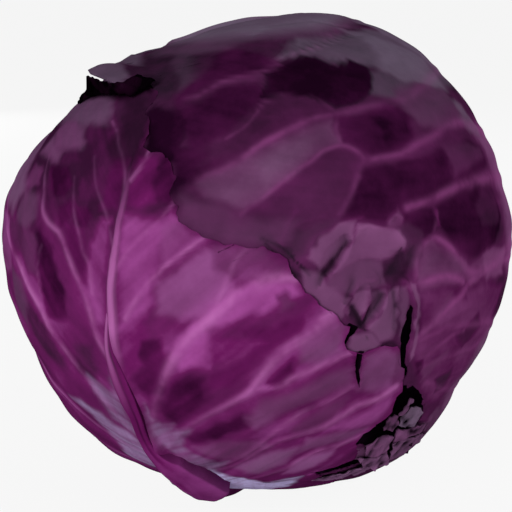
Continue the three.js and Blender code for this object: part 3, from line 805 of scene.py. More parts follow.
FRONT_PALE = [
    (0.2, 1.2, [(-38.5, -15.9), (-34.5, -17.4), (-32, -18.8), (-30.3, -12.4), (-30, -19.4), (-29.5, -25),
        (-29, -30.7), (-32.1, -29.1), (-35.4, -26.3), (-37, -22.2)]),
    (0.34, 1.2, [(-48.3, -24.3), (-43.8, -23.7), (-39, -25.9), (-36.1, -28.7), (-31.7, -30.7),
        (-29, -33.9), (-26, -40.5), (-24, -46), (-38.3, -46.7), (-41.3, -43.5), (-40.2, -36.9),
        (-40.6, -31.9), (-42.8, -27.4)]),
    (0.18, 1, [(-24.6, -20), (-23.5, -23.4), (-21.6, -25.4), (-18.3, -24.5), (-19.6, -27), (-14.3, -25.4),
        (-17.3, -28.7), (-18.2, -31.2), (-16, -32.3), (-13.1, -34.1), (-10.9, -37.2), (-7.1, -36.3),
        (-12, -41.3), (-15.4, -39.9), (-21.5, -35), (-23.5, -31), (-24.8, -25)]),
    (1.25, 1, [(-13, -41), (-10.3, -43), (-6.1, -43.4), (-1.9, -46), (1.9, -47.4), (6.1, -45.8),
        (12.9, -43.6), (12.5, -48), (10, -53), (3, -60), (-10.8, -60), (-13, -48)]),
]
FRONT_SHADE = [
    (0.85, 1.2, [(-84, 47), (-48, 48), (-35, 50), (-33, 46.5), (-38.5, 43.6), (-52, 43.8), (-62, 43),
        (-84, 40)]),
    (0.45, 2, [(-40, 45), (-31, 45), (-27.5, 37), (-25.5, 31.5), (-29, 27), (-36, 30)]),
]


def front_paint(directions, glow):
    longitude, latitude = degrees_of(directions)
    tone = FRONT_TONE + 0.12 * blotches(directions, *FRONT_RIBS, 40)
    tone = tone - smooth_step(4, 24, latitude) * np.where(longitude < -29, 0.4, 0.26)
    tone, bloom = panels(directions, 70, (tone, 0.06), FRONT_PANELS)
    tone = FRONT_TONE + FRONT_CONTRAST * (tone - FRONT_TONE)
    tone = tone + 0.2 * glow + 0.14 * blotches(directions, *FRONT_RIBS, 42)
    tone = tone + 0.07 * blotches(directions, *FRONT_RIBS, 50, 3)
    pale, = panels(directions, 74, (0,), FRONT_PALE)
    shade, = panels(directions, 78, (0,), FRONT_SHADE)
    pale = pale * (0.85 + 0.7 * blotches(directions, -28, 0.45, 90, 3.5))
    return tone, bloom * (1 - 0.5 * glow), pale, 0 * tone, shade


front_leaf = build_leaf(
    "front_leaf", front, [], front_lines, (60, 70, 3), front_shape,
    (((-1, -0.2, 1), (-1, 0, 1)), ((0, 0.22, 0.36, 1), (0, 0.24, 0.33, 1))),
)
cut_through(front_leaf, front_tears)
paint_leaf(front_leaf, front_lines, 0.55, front_paint)
front_skin = leaf_skin(
    "front_leaf_skin",
    deep=(0.035, 0.003, 0.027, 1), mid=(0.155, 0.011, 0.112, 1), bright=(0.4, 0.078, 0.34, 1),
    vein=(0.6, 0.19, 0.52, 1), bloom=(0.2, 0.1, 0.2, 1), pale=(0.66, 0.56, 0.93, 1),
)
front_leaf.data.materials.append(front_skin)
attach(front_leaf, "root")
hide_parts("leaf_front")

# ---- Petiole -----------------------------------------------------------------------------
# The front leaf's flat leaf stalk. It stands up from the leaf, widens downwards and ends in
# a cut beside the foot. Its edge places are (longitude, latitude, height over the head).
PETIOLE_LEFT = [
    (-30.4, 0, -0.6), (-31.1, -8, 0.4), (-30.8, -12.4, 0.8), (-29.6, -19.7, 1.4), (-28.3, -23.6, 1.7),
    (-27.9, -29.3, 2.2), (-26.6, -35.5, 3), (-25.6, -38.5, 3.4), (-24.4, -42.5, 3.9), (-22.2, -48.3, 4.6),
    (-21.9, -55, 5), (-20, -58, 4.6),
]
PETIOLE_RIGHT = [
    (-28.8, 0, -0.6), (-28.8, -7.7, 0.3), (-27.2, -12.8, 0.5), (-26, -18.5, 0.7), (-25.4, -23.5, 1),
    (-25.2, -29.8, 1.2), (-23.8, -34, 1.6), (-21.2, -35.4, 2), (-19.2, -35.6, 2.2), (-16.4, -38.4, 2.6),
    (-12.6, -42, 3), (-8.2, -47.4, 3.4),
]
PETIOLE_DEPTH = 5
PETIOLE_CROWN = 0.5


def edge_places(places, share):
    """Directions and heights at even shares along (longitude, latitude, height) places."""
    places = np.array(places)
    height = np.interp(share, np.linspace(0, 1, len(places)), places[:, 2])
    return smooth_line(places[:, :2], share), height


petiole_mesh, x, share, is_outer = blade_mesh("petiole", 6, 40, 2)
first, low = edge_places(PETIOLE_LEFT, share)
second, high = edge_places(PETIOLE_RIGHT, share)
across = (x + 1) / 2
directions = turn_towards(first, second, across)
lift = low + (high - low) * across + PETIOLE_CROWN * (1 - x**4) + 0.2 * ripple(directions, 16, 92)
radius = head_radius(directions) + lift - PETIOLE_DEPTH * ~is_outer
write_places(petiole_mesh, places_at(directions, radius))
petiole = add_object("petiole", petiole_mesh)
# A darker line down the upper stalk where a groove lies: painted shade, as the stalk's shape has no
# groove.
groove_shade = np.exp(-(((across - 0.62) / 0.09) ** 2)) * smooth_step(0.75, 0.35, share)
cloud = 0.12 * ripple(np.stack([x * 2, share * 6, x], -1), 1, 93)
pink = 0.5 * np.exp(-(((across - 0.3) / 0.25) ** 2)) * smooth_step(0.36, 0.05, share)
# Painted shade on the stalk's right wall and on its inner face.
shaded_wall = np.maximum(smooth_step(0.9, 1, x) * 0.5, 1.0 * ~is_outer)
write_skin(petiole_mesh, 0.34 + 0.38 * share - 0.3 * groove_shade + cloud, pink, shade=0.75 * shaded_wall)
petiole_mesh.materials.append(front_skin)
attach(petiole, "root")

# ---- Right leaf --------------------------------------------------------------------------
# The next wrapper leaf. Its midrib climbs the far right and goes over the crown, so its side
# ribs run round the head towards the front leaf, whose edge lies over it. The front of it is
# crumpled and split, and its dried tip curls up as a tongue over the tip of the front leaf.
RIGHT_SPINE = [
    (100, -75), (101, -55), (102, -35), (104, -15), (106, 5), (109, 25), (113, 45), (124, 65), (170, 80),
    (-108, 80), (-88, 67),
]
RIGHT_LEFT_BOW = [
    (80, -77), (62, -59), (57, -38), (52, -20), (46, -3), (38, 14), (30, 30), (24, 45), (2, 60),
    (-40, 57), (-72, 64),
]
RIGHT_LEFT = [
    (0, 58, -75), (0.1, 24, -52), (0.2, 15, -32), (0.3, 8, -14), (0.4, -5, 0), (0.5, -16, 14),
    (0.6, -24, 25), (0.66, -27, 31), (0.7, -30, 37), (0.73, -31, 42), (0.75, -31.6, 45.5),
    (0.77, -33.2, 48), (0.785, -35.2, 49.8), (0.8, -38.2, 49.9), (0.815, -39.8, 49.2),
    (0.825, -39.4, 47.8), (0.835, -39.1, 46.4), (0.845, -40.4, 45.3), (0.865, -43.9, 45.3),
    (0.885, -48.3, 45.6), (0.905, -53.6, 46.3), (0.925, -62.5, 47.2), (0.935, -58.4, 48),
    (0.95, -52.5, 48.9), (0.96, -51.7, 51.1), (0.97, -59.1, 53.7), (0.985, -65.5, 56.4), (1, -75, 59),
]
RIGHT_RIGHT = [
    (150, -75), (-178, -52), (-167, -30), (-162, -10), (-160, 8), (-158, 25), (-155, 40), (-148, 53),
    (-134, 61), (-118, 63), (-100, 62),
]
TONGUE = [
    (-31, 44), (-33.5, 47.5), (-35, 51), (-45, 56.5), (-60, 63), (-80, 66), (-110, 60), (-80, 30),
    (-40, 36),
]
TONGUE_HINGE = TONGUE[:6]
TONGUE_LIFT = 9
TONGUE_BEND = 7
CLEFT = [
    (31, 1.4), (30.2, 0), (29.8, -2.5), (29.2, -5), (29.5, -8), (29.9, -11.3), (30.5, -12.3),
    (30.3, -14.2), (31.6, -15), (32.6, -14.2), (32.3, -12.2), (31.4, -11.2), (31.1, -8), (31.4, -5),
    (31.6, -2), (31.6, 0.5),
]
HOLLOW = [
    (33.4, -16.8), (35.5, -17.6), (37.8, -19.2), (40.2, -22), (42.8, -25.3), (43.8, -27.9), (43.3, -30),
    (41.5, -31.5), (42, -33), (38.5, -32.5), (37.5, -35), (36, -37), (34.6, -35), (33, -33.5),
    (31.5, -34), (29.5, -35.5), (27.5, -33), (24, -33), (22, -28), (26, -20), (30, -17),
]
GASH = [(16, -43), (19, -39), (24, -38), (31, -39.6), (32, -41.5), (28, -43.6), (24, -45), (17, -47)]
right = Leaf(RIGHT_SPINE, RIGHT_LEFT, RIGHT_RIGHT, RIGHT_LEFT_BOW)
right_tears = [
    ragged_outline(CLEFT, 22, 0.12), ragged_outline(HOLLOW, 23), ragged_outline(GASH, 24),
    ragged_outline([(16, -6.5), (16, -2), (18, -0.9), (20, -2), (19.3, -3.1), (18.2, -3.9),
                    (17.6, -5)], 25, 0.1),
    ragged_outline([(18.8, -6.8), (21.5, -7), (21.6, -16), (19.4, -14)], 26, 0.1),
]
right.rims += right_tears

RIGHT_MIDRIB = (
    RIGHT_SPINE, (5.5, 4.5, 3.5, 2.8, 2.2, 1.8, 1.4, 1), (2, 3.5, 2.6, 2, 1.5, 1),
    (0.1, 0.4, 0.7, 0.6, 0.05, 0),
)


def ribs_by_rule(leaf, seed, count=9, sides=(-1, 1)):
    """Side ribs that leave the midrib in turn and bend towards the tip, each with a fork."""
    ribs = Lines()
    draw = np.random.default_rng(seed)
    for number in range(count):
        foot = 0.06 + 0.8 * (number / count) ** 1.15
        for side in sides:
            across = np.linspace(0, 0.92, 26)
            wave = 0.012 * np.sin(across * 9 + draw.uniform(0, 6))
            lift = draw.uniform(0.1, 0.16)
            share = np.clip(foot + lift * across**1.3 + wave * across, 0, 0.98)
            ribs.add(leaf.at(side * np.maximum(across, 0.001), share), (1.6, 0.7), (1.1, 0.3),
                     (0.8, 0.3))
            fork = np.linspace(0, 1, 14)
            start = draw.uniform(0.25, 0.5)
            spread = start + (0.9 - start) * fork
            climb = foot + lift * spread**1.3 + draw.uniform(0.05, 0.08) * fork**1.1
            path = leaf.at(side * spread, np.clip(climb, 0, 0.98))
            ribs.add(path, (0.8, 0.5), (0.5, 0.2), (0.5, 0.15))
    return ribs


RIGHT_VEIN_WIDEN = 1.2
RIGHT_VEINS = (
    ([(107, 40), (90, 46), (70, 46), (48, 43), (36, 42.5), (21.8, 41), (15.5, 40.5), (9, 38.3),
        (4.5, 36.2), (1, 34.5), (-5, 30.3), (-12.5, 27)], (1.6, 1.4, 1, 1, 0.8), (1.1, 0.8, 0.4),
        (0.5, 0.3, 0.45, 0.8, 0.3)),
    ([(106, 22), (92, 28), (76, 31), (60, 34.5), (50, 33.5), (42.5, 32.5), (36.5, 31), (25.5, 30.2)],
        (1.8, 1.5, 1.1, 0.8), (1.3, 1, 0.5), (0.7, 0.75, 0.55, 0.6)),
    ([(25.5, 30.2), (23.5, 32.5), (20.5, 33.7), (15.5, 32.7), (12.5, 30.8), (9.5, 29.3), (5.5, 26.5),
        (2, 24), (-3, 20.5)], (0.7, 0.6), (0.5, 0.3), (0.5, 0.45)),
    ([(20.5, 33.7), (20.3, 37), (21.5, 40.6)], (0.7, 0.6), (0.5, 0.4), (0.4, 0.4)),
    ([(25.5, 30.2), (24, 29), (22, 26.5), (20.5, 24), (18, 21), (17, 20)], (0.8, 0.6), (0.6, 0.3),
        (0.5, 0.25)),
    ([(105, 4), (90, 16), (71, 20.5), (57, 22), (50, 22), (45, 21.5), (41.5, 21), (36, 20.3), (33, 20)],
        (2.2, 1.9, 1.3, 1, 1), (1.5, 1.1, 0.8), (0.7, 0.8, 0.9, 0.95)),
    ([(21.8, 41), (19, 44.3), (16.5, 46), (12, 46.3), (7.5, 46.3), (2, 44.5), (0, 41.7), (-3, 38.5),
        (-7, 35.8)], (0.6, 0.5), (0.5, 0.3), (0.25, 0.3)),
    ([(118, 58), (80, 68), (40, 65), (27, 61.5), (20, 60.5), (9, 57), (3.5, 54), (-5.5, 51.5),
        (-10.5, 50), (-16, 46.5), (-21, 44.5)], (1.2, 0.7), (0.8, 0.3), (0.2, 0.45)),
    ([(104, -12), (90, -2), (75, 5), (60, 3), (49.5, 4.5), (47.5, 6.5), (43.5, 10.5), (38.5, 13.3),
        (34.5, 11), (33, 5.7)], (1.8, 1.5, 0.9, 0.9), (1.1, 0.6), (0.8, 0.7, 1, 0.8)),
    ([(47, 3), (45, 4), (40, 5.2), (35, 5), (31.5, 5)], (1, 1.1), (0.6, 0.4), (1, 0.9)),
    ([(46, 0), (49, 2), (54, 3), (59, 3.4), (70, 2.7), (84, 1)], (1.1, 1.5), (0.6, 0.8), (0.8, 1)),
    ([(32.4, -6.7), (36.5, -4.5), (41.4, -1.9), (47, 0.5)], (0.9, 1), (0.4, 0.5), (0.7, 0.9)),
    ([(37.8, -10.6), (44.9, -8), (48.9, -7.8)], (0.7, 0.8), (0.3, 0.4), (0.4, 0.6)),
    ([(41.5, 18), (38.5, 13.3)], (0.6, 0.5), (0.4, 0.3), (0.3, 0.3)),
    ([(103, -28), (88, -20), (70, -12), (55, -8), (42, -6), (32.5, -7)], (1.6, 0.8), (1, 0.4),
        (0.7, 0.4)),
    ([(102, -44), (85, -36), (68, -28), (52, -24), (40, -18)], (1.6, 0.8), (0.9, 0.4), (0.6, 0.4)),
    ([(70, -12), (58, -14), (46, -13), (36, -13)], (0.9, 0.7), (0.5, 0.3), (0.4, 0.3)),
)
RIGHT_CREASES = (
    ([(19.6, 61.3), (31.5, 63), (46, 64.2), (58, 63.2)], 0.7, -0.5),
    ([(-3.6, 68.7), (12, 74.8), (42, 75), (61.7, 68.7), (68.4, 64)], 0.7, -0.4),
    ([(1.1, 15.9), (4.8, 14.2), (6.5, 12.8), (7.6, 11.6), (10.1, 8.9)], 0.8, -0.7),
    ([(1.9, 14.9), (2.7, 14), (5.1, 11.8), (6.2, 10.2), (7.6, 8.8)], 0.7, -0.9),
    ([(4.7, 15), (5.6, 17), (6.6, 19), (8, 21)], 1.2, 0.6),
    ([(6, 17.3), (8, 18.3), (10, 19), (14, 19.8)], 1, 0.4),
    ([(8.4, 11.8), (9.8, 12.5), (10.3, 14), (11.5, 16), (15, 17.2), (18, 18.4), (21.5, 19)], 1.8, 1.1),
    ([(18, 14.8), (16.3, 13), (15, 11.8), (14, 10), (12.5, 8.8), (12, 7.3)], 1.3, -1.1),
    ([(20.3, 16.8), (18.5, 14), (17.5, 12), (15.5, 10), (13.5, 8), (12.5, 6.5)], 1.6, 0.8),
    ([(20.5, 17), (22, 17.2), (25, 16.6), (28.3, 15.8), (30, 13.6)], 2, 1.2),
    ([(24.3, 17.6), (26.7, 17.3)], 0.8, 0.6),
    ([(27, 17.3), (29.5, 18.8), (31, 18)], 1, 0.7),
    ([(29.8, 13), (28.5, 10.5), (27, 8.8), (25.5, 7.5)], 2, -0.45),
    ([(32.5, 10.5), (30.5, 7.5), (28.5, 6.3)], 2, -0.5),
    ([(18.8, 7), (17.5, 4.5), (17, 3)], 0.9, -0.7),
    ([(16.8, 3), (17.3, 1), (17, -0.5)], 0.8, 0.6),
    ([(18.5, 5), (20.5, 7), (23, 7)], 1, 0.8),
    ([(18.8, 2.3), (19.6, 0.5), (20.2, -1.5)], 1, -1.2),
    ([(21.6, 6), (21.8, 3.5), (21, 1), (20.7, -0.5)], 0.8, 0.9),
    ([(24.6, 4), (23.6, 2), (22, 0.3), (20.8, -1.3)], 1.1, -1.1),
    ([(25.2, 4.5), (25, 2), (23.5, 0), (22, -1.8)], 1.4, 0.9),
    ([(27.5, 4), (27.7, 1), (27.5, -3)], 0.9, -0.9),
    ([(30, 6), (31, 4.5), (31.9, 2), (32.1, -3), (31.9, -9)], 0.9, 0.8),
    ([(20.3, -1.5), (21.5, -3.3), (21.8, -4.5)], 0.6, -0.6),
    ([(24.5, -6.9), (26, -6), (27.3, -6), (28.6, -7.3)], 0.8, -0.7),
    ([(18, -3.8), (20.2, -2.4), (23, -4.8), (24.5, -5.8)], 1, 0.6),
    ([(43, -33.5), (47, -35), (52, -37.5)], 0.9, -1.2),
    ([(36.5, -35), (38.5, -37.5), (41, -41)], 0.9, -1.2),
    ([(38, -31), (41, -30.5), (44, -31)], 0.8, -0.9),
    ([(44, -36), (48, -39), (50, -42)], 0.9, 1),
    ([(33, -36), (36, -38), (40, -43)], 1, 0.9),
    ([(41, -28), (44, -29), (49, -31)], 1.2, 0.8),
)
right_lines = (
    Lines().trace([RIGHT_MIDRIB]),
    ribs_by_rule(right, 7, 11, (1,)).trace(RIGHT_VEINS, RIGHT_VEIN_WIDEN),
    Lines().trace((places, [width], [height], [1]) for places, width, height in RIGHT_CREASES),
)


def gap_to_line(places, directions):
    """Distance in degrees to a line of straight stretches."""
    corners = toward(places)
    nearest = np.full(len(directions), 9.0)
    for start, end in zip(corners, corners[1:]):
        step = end - start
        share = np.clip((directions - start) @ step / (step @ step), 0, 1)
        away = np.linalg.norm(directions - start - share[:, None] * step, axis=-1)
        nearest = np.minimum(nearest, away)
    return np.degrees(nearest)


def right_shape(directions, edge):
    longitude, latitude = degrees_of(directions)
    beyond = gap_to_line(TONGUE_HINGE, directions)
    beyond = beyond * within_corners(longitude, latitude, np.array(TONGUE, float))
    lift = TONGUE_LIFT * (1 - np.exp(-beyond / TONGUE_BEND))
    lift = lift * (0.4 + 0.6 * smooth_step(56, 49, latitude)) * smooth_step(60, 55, latitude)
    crumple = patches(directions, [(44, -35, 9, 8, 1.6), (20, 2, 9, 8, 0.5), (22, 11, 8, 6, 0.4)])
    fold = np.abs(ripple(directions, 13, 5)) + 0.5 * np.abs(ripple(directions, 27, 6))
    torn = patches(directions, [(31, -6, 8, 14, 1), (35, -26, 14, 14, 1), (-38, 48, 16, 6, 1)])
    tuck = 0.3 * np.exp(-((edge / 2) ** 2)) * np.clip(1 - torn, 0, 1)
    return 0.35 * ripple(directions, 8, 33) + crumple * (fold - 0.3) - tuck, lift


RIGHT_RIBS = (105, 0.12)
RIGHT_PANELS = [
    (0.08, 0.08, 1.5, [(-60, 62), (-25, 62), (-20, 52), (-24, 46), (-30, 44), (-36, 47), (-48, 52)]),
    (0.1, 0.2, 1.2, [(-40, 62), (-30, 62), (-22, 53), (-18, 46), (-21, 44.5), (-26, 51), (-36, 58)]),
    (0.3, 0.65, 1.5, [(-80, 62), (-58, 58), (-47, 54), (-62, 52), (-80, 54)]),
    (0.25, 0.6, 0.8, [(-66, 46), (-50, 45), (-42, 45), (-41, 48), (-48, 51), (-62, 54)]),
    (0.25, 0.28, 2, [(-90, 72), (-40, 76), (0, 76), (0, 68), (-12, 63), (-25, 60), (-60, 60)]),
    (0.13, 0, 1.2, [(-17, 60), (-10, 62), (2, 60), (6, 56), (3, 52.5), (-5, 50.5), (-13, 50), (-18, 45.5),
        (-22, 42), (-24, 45), (-17.5, 52)]),
    (0.3, 0.1, 0.8, [(-13, 49.5), (-8, 51), (-2, 51.5), (4, 54), (3, 52), (-3, 50), (-8, 49)]),
    (0.14, 0, 1.5, [(-22, 42), (-16, 45), (-10, 49), (0, 50), (4, 47), (-3, 40), (-9, 35), (-15, 31),
        (-17, 35)]),
    # Painted shadow of the front leaf's tip on this leaf.
    (0, 0, 0.9, [(-31, 40), (-28.5, 42.5), (-20, 41.5), (-17, 38.5), (-17.5, 33.5), (-14, 32.5),
        (-13.5, 30.5), (-18, 29.5), (-22, 30.5), (-26, 32), (-28, 36)]),
    (0.14, 0, 1.5, [(-19, 32), (-9.4, 33), (-4, 33.5), (-11, 28.4), (-14, 26.5), (-18.5, 22)]),
    (0.2, 0.05, 1.2, [(-9, 35), (-3, 39.5), (3, 45), (10, 46), (17, 44.5), (20, 42), (10, 39.5), (2, 36),
        (-5, 32), (-12, 30)]),
    (0.15, 0.6, 1.5, [(8, 58), (20, 59), (28, 55.5), (40, 52.5), (50, 50.5), (60, 47.5), (68, 42.5),
        (80, 42), (90, 55), (70, 64), (45, 66), (20, 66)]),
    (0.3, 0.9, 1.5, [(58, 68), (64, 62), (78, 50), (68, 42), (60, 44), (48.7, 47), (44, 50.6),
        (52, 56.5)]),
    (0.12, 0.4, 1.2, [(38, 50), (44, 50.6), (49, 47), (60, 44), (64, 42), (55, 41), (44, 42.5),
        (34, 45)]),
    (0.38, 0.8, 1, [(61, 41.3), (68, 39), (75, 32), (72, 29), (65, 32), (61.6, 36.2)]),
    (-0.3, 0, 0.7, [(2, 46), (4, 52.7), (11, 57), (20, 59), (25, 56), (29, 53.6), (36, 55.3), (39.5, 52),
        (40, 49), (36, 46), (32, 44), (22, 42.6), (18.5, 44.3), (14, 46.4), (7, 46.2)]),
    (0.4, 0.8, 0.6, [(8, 57.5), (14, 60), (22, 61), (30, 62), (45, 64), (30, 60.8), (20, 59.8),
        (12, 58)]),
    (0.45, 0.95, 2, [(80, 68), (110, 68), (112, 44), (92, 34), (80, 40), (80, 52), (75, 60)]),
    (0.6, 1, 1.5, [(0, 70), (20, 73), (60, 72), (100, 70), (100, 80), (0, 85), (-60, 80)]),
    (0.16, 0, 0.9, [(21, 40), (29, 40.5), (37, 42), (42, 40), (43, 34.5), (36, 31.5), (28, 31), (24, 33),
        (20.5, 35)]),
    (0.06, 0, 1, [(31, 39.5), (41, 40), (42, 34), (33, 32.5)]),
    (0.36, 0.25, 1.3, [(44, 45), (55, 46), (66, 42), (66, 36), (58, 34), (47, 35.5), (43, 39)]),
    (0.07, 0, 0.9, [(24.5, 28.5), (30, 29), (40, 29.5), (50, 30.8), (62, 30.3), (70, 28), (70, 25),
        (60, 22.5), (50, 22), (40, 21), (32, 20), (30, 18), (26, 17.5), (17.5, 18.5), (19, 22.5),
        (22, 26)]),
    (0.3, 0.1, 1, [(50, 31.5), (56, 30.5), (66, 28.5), (66, 26), (50, 24.5)]),
    (0.45, 0.1, 0.8, [(26.5, 17), (27.5, 18.5), (31, 20.5), (32, 18), (30.5, 16.5)]),
    (0.1, 0, 0.8, [(32, 19.3), (40, 19.5), (41.5, 16), (38, 13.5), (33, 12.8), (30.5, 15.5)]),
    (0.08, 0, 0.9, [(41.5, 19.5), (50, 21), (60, 21.5), (66, 20.5), (66, 13), (62, 8), (56, 6), (49, 7),
        (44.5, 11), (40.5, 15)]),
    (0.5, 0, 0.4, [(41.2, 19), (41.7, 19), (40.8, 15), (40.2, 15)]),
    (0.2, 0.05, 1, [(56, 13), (64, 12), (66, 18), (60, 20), (55, 17)]),
    # A lighter band down the right limb: painted highlight where the leaf turns away.
    (0.8, 0.25, 4, [(68, 30), (80, 32), (90, 24), (96, 8), (99, -9), (86, -12), (78, -4), (72, 0),
        (70, 12), (71, 22)]),
    (0.46, 0.25, 1.1, [(-13, 26.5), (-6, 30), (1, 34), (9, 37.5), (15, 39), (19.5, 39), (20, 34.5),
        (14, 32.3), (8, 28), (2, 23.5), (-2, 21), (-9, 23)]),
    (0.5, 0.34, 1.3, [(0, 31), (6, 35), (13, 36.5), (13, 33), (7, 28.5), (2, 26)]),
    (0.29, 0.06, 1, [(-1, 20.5), (4, 24), (9, 28), (13.5, 31.5), (20, 33), (24, 29.3), (19.5, 22),
        (17, 18.8), (9, 19)]),
    (0.4, 0.15, 1.3, [(-16, 23), (-8, 22), (0, 19.5), (8, 19), (7, 15), (3, 14.5), (-4, 15), (-10, 16),
        (-15, 19)]),
    (0.2, 0.1, 0.8, [(6, 13), (7.5, 16.5), (12, 18.3), (17, 18.5), (12.5, 16), (10, 12.5), (7.5, 11.5)]),
    (0.6, 0, 1.5, [(33.5, 3), (40, 3), (50, 1), (62, 0), (68, -3), (66, -12), (58, -20), (48, -25),
        (42, -23), (37, -17), (34, -12)]),
    (0.5, 0.22, 0.7, [(32.5, 9.5), (36, 13), (38.5, 13.5), (41, 11.3), (45, 9), (48, 6.3), (50, 4.5),
        (44, 4.7), (38, 5.7), (34, 5.3)]),
    (0.52, 0.1, 0.8, [(34, 5.5), (40, 5.8), (48, 5), (57, 8), (68, 6), (68, 3), (58, 3.5), (50, 1.5),
        (47, 3), (40, 3.5), (34, 3.2)]),
    (0.7, 0.15, 1, [(55, 7), (68, 6), (68, 0), (57, 1)]),
    (0.42, 0, 0.8, [(43, 2.5), (49, 2), (48, -1), (44, -0.5)]),
    (0.25, 0.05, 1, [(46, -8), (54, -5), (57, -9), (50, -12)]),
    (0.2, 0, 0.6, [(34.3, -11.5), (36, -11), (36.8, -14.5), (35, -15)]),
    (0.2, 0.1, 0.8, [(43, -18), (48, -16.5), (49, -22), (45, -22.5)]),
    (0.65, 0.1, 0.8, [(36.5, -14), (40, -12.5), (44, -11.5), (40, -15.5), (37, -17)]),
    (0.6, 0.1, 0.6, [(34.5, -5), (38, -3), (43, 2), (41, -1.5), (37, -5.5)]),
    (0.7, 0.35, 3, [(52, -24), (60, -16), (68, -12), (84, -15), (80, -35), (60, -38)]),
]
# Panels over the crumpled patches, in tone and dryness: the dryness is the leaf's own, and the lighter
# and darker facets are painted light and painted shade.
CRUMPLE_PANELS = [
    (0.5, 0.4, 0.5, [(10, 12), (12, 15.5), (17, 17.8), (20, 18.2), (18.5, 15.2), (15, 12), (12, 9.5)]),
    (0.58, 0.34, 0.5, [(18.8, 15), (20.5, 17.6), (24, 16.8), (30, 16), (33, 14), (31, 12.2), (25, 10.5),
        (20, 11), (16.5, 8.5), (14.5, 9.5), (16, 12)]),
    (0.38, 0.28, 0.6, [(14, 9), (20, 11), (25, 10.3), (25.3, 6), (20, 5.3), (17, 5), (14, 6)]),
    (0.06, 0, 1.2, [(26.2, 9.5), (30, 11.3), (34, 14), (33, 11), (31, 8), (30.5, 6), (27, 5.3), (26, 7)]),
    (0.12, 0.1, 0.8, [(30, 16), (33, 17), (36, 14), (34, 8), (31.5, 8), (31, 12.5)]),
    (0.45, 0.4, 0.6, [(8.5, 9.5), (12, 9), (15, 6), (17.5, 4), (17, 0.5), (15, -0.5), (12.5, 2),
        (10, 5)]),
    (0.55, 0.45, 0.4, [(17.5, 1), (18.5, 4.8), (22, 5.5), (21.5, 2.5), (19.5, -0.5)]),
    (0.12, 0, 0.4, [(17.8, 3), (18.8, 2.5), (20.5, -1), (21, -3.5), (19.3, -1.5), (18, 0.5)]),
    (0.35, 0.3, 0.5, [(21.5, 5), (24.8, 5), (24.3, 1.5), (21.5, -1.5), (22, 2)]),
    (0.5, 0.5, 0.5, [(25.2, 4.5), (28.2, 4.8), (28, -1), (27, -5), (24.5, -5), (21.5, -2.3), (24.3, 1)]),
    (0.3, 0.3, 0.4, [(28.4, 4.5), (30, 5), (30, -6), (28.5, -6)]),
    (0.36, 0.45, 0.5, [(18.5, -3.5), (22, -3), (25, -5.5), (23.5, -7), (20, -8), (18, -5.8)]),
    (0.65, 0.4, 0.4, [(31.2, 5.5), (33, 5), (33.5, 0), (33.5, -10), (32.4, -11), (32.3, 0)]),
    (0.3, 0.3, 1, [(33, -34), (42, -31.5), (52, -29), (62, -36), (52, -46), (38, -44), (30, -40)]),
    (0.5, 0.5, 1, [(17, -37), (24, -33.5), (31, -34), (34, -38), (30, -39.5), (22, -38.8)]),
]
RIGHT_SHADE = [
    (0.5, 1, [(-31, 38), (-27, 38), (-24, 33), (-19, 31.5), (-19, 29), (-24, 30), (-29, 33)]),
    (0.3, 1, [(4, 48), (8, 54), (20, 57.5), (29, 52), (38, 51), (34, 46), (20, 45)]),
    (0.85, 1.2, [(34, -34), (42, -32.5), (50, -34.5), (56, -38), (48, -44), (38, -46), (30, -44),
        (31, -38)]),
]


def right_paint(directions, glow):
    latitude = degrees_of(directions)[1]
    tone = 0.28 - 0.1 * smooth_step(30, 40, latitude) + 0.1 * blotches(directions, *RIGHT_RIBS, 44)
    tone, bloom = panels(directions, 80, (tone, 0.06), RIGHT_PANELS)
    tone, dry = panels(directions, 84, (tone, 0), CRUMPLE_PANELS)
    # Towards the crown the skin turns grey: partly the waxy bloom, partly painted sheen where the top is
    # seen edge on.
    cap = smooth_step(64, 74, latitude)
    tone, bloom = tone + cap * (0.5 - tone), bloom + cap * (0.95 - bloom)
    tone = tone + 0.16 * glow + 0.1 * blotches(directions, *RIGHT_RIBS, 46)
    tone = tone + 0.05 * blotches(directions, *RIGHT_RIBS, 52, 3)
    behind = smooth_step(0.2, 0.8, directions[:, 1])
    tone = tone + behind * (0.2 * blotches(directions, 105, 0.3, 47) + 0.1 * glow)
    bloom = bloom * (1 - 0.5 * glow) + behind * (0.2 + 0.3 * blotches(directions, 105, 0.3, 49))
    shade, = panels(directions, 88, (0,), RIGHT_SHADE)
    return tone, bloom, 0 * tone, dry, shade


right_leaf = build_leaf(
    "right_leaf", right, [front], right_lines, (82, 70, 3), right_shape,
    (((-1, 0.55, 1), (-1, 0, 1)), ((0, 0.12, 0.85, 1), (0, 0.2, 0.7, 1))),
)
cut_through(right_leaf, right_tears)
paint_leaf(right_leaf, right_lines, 0.5, right_paint)
right_skin = leaf_skin(
    "right_leaf_skin",
    deep=(0.018, 0.002, 0.015, 1), mid=(0.112, 0.012, 0.084, 1), bright=(0.27, 0.068, 0.222, 1),
    vein=(0.38, 0.085, 0.3, 1), bloom=(0.19, 0.145, 0.215, 1), pale=(0.33, 0.24, 0.5, 1),
)
right_leaf.data.materials.append(right_skin)
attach(right_leaf, "root")
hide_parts("leaf_right")
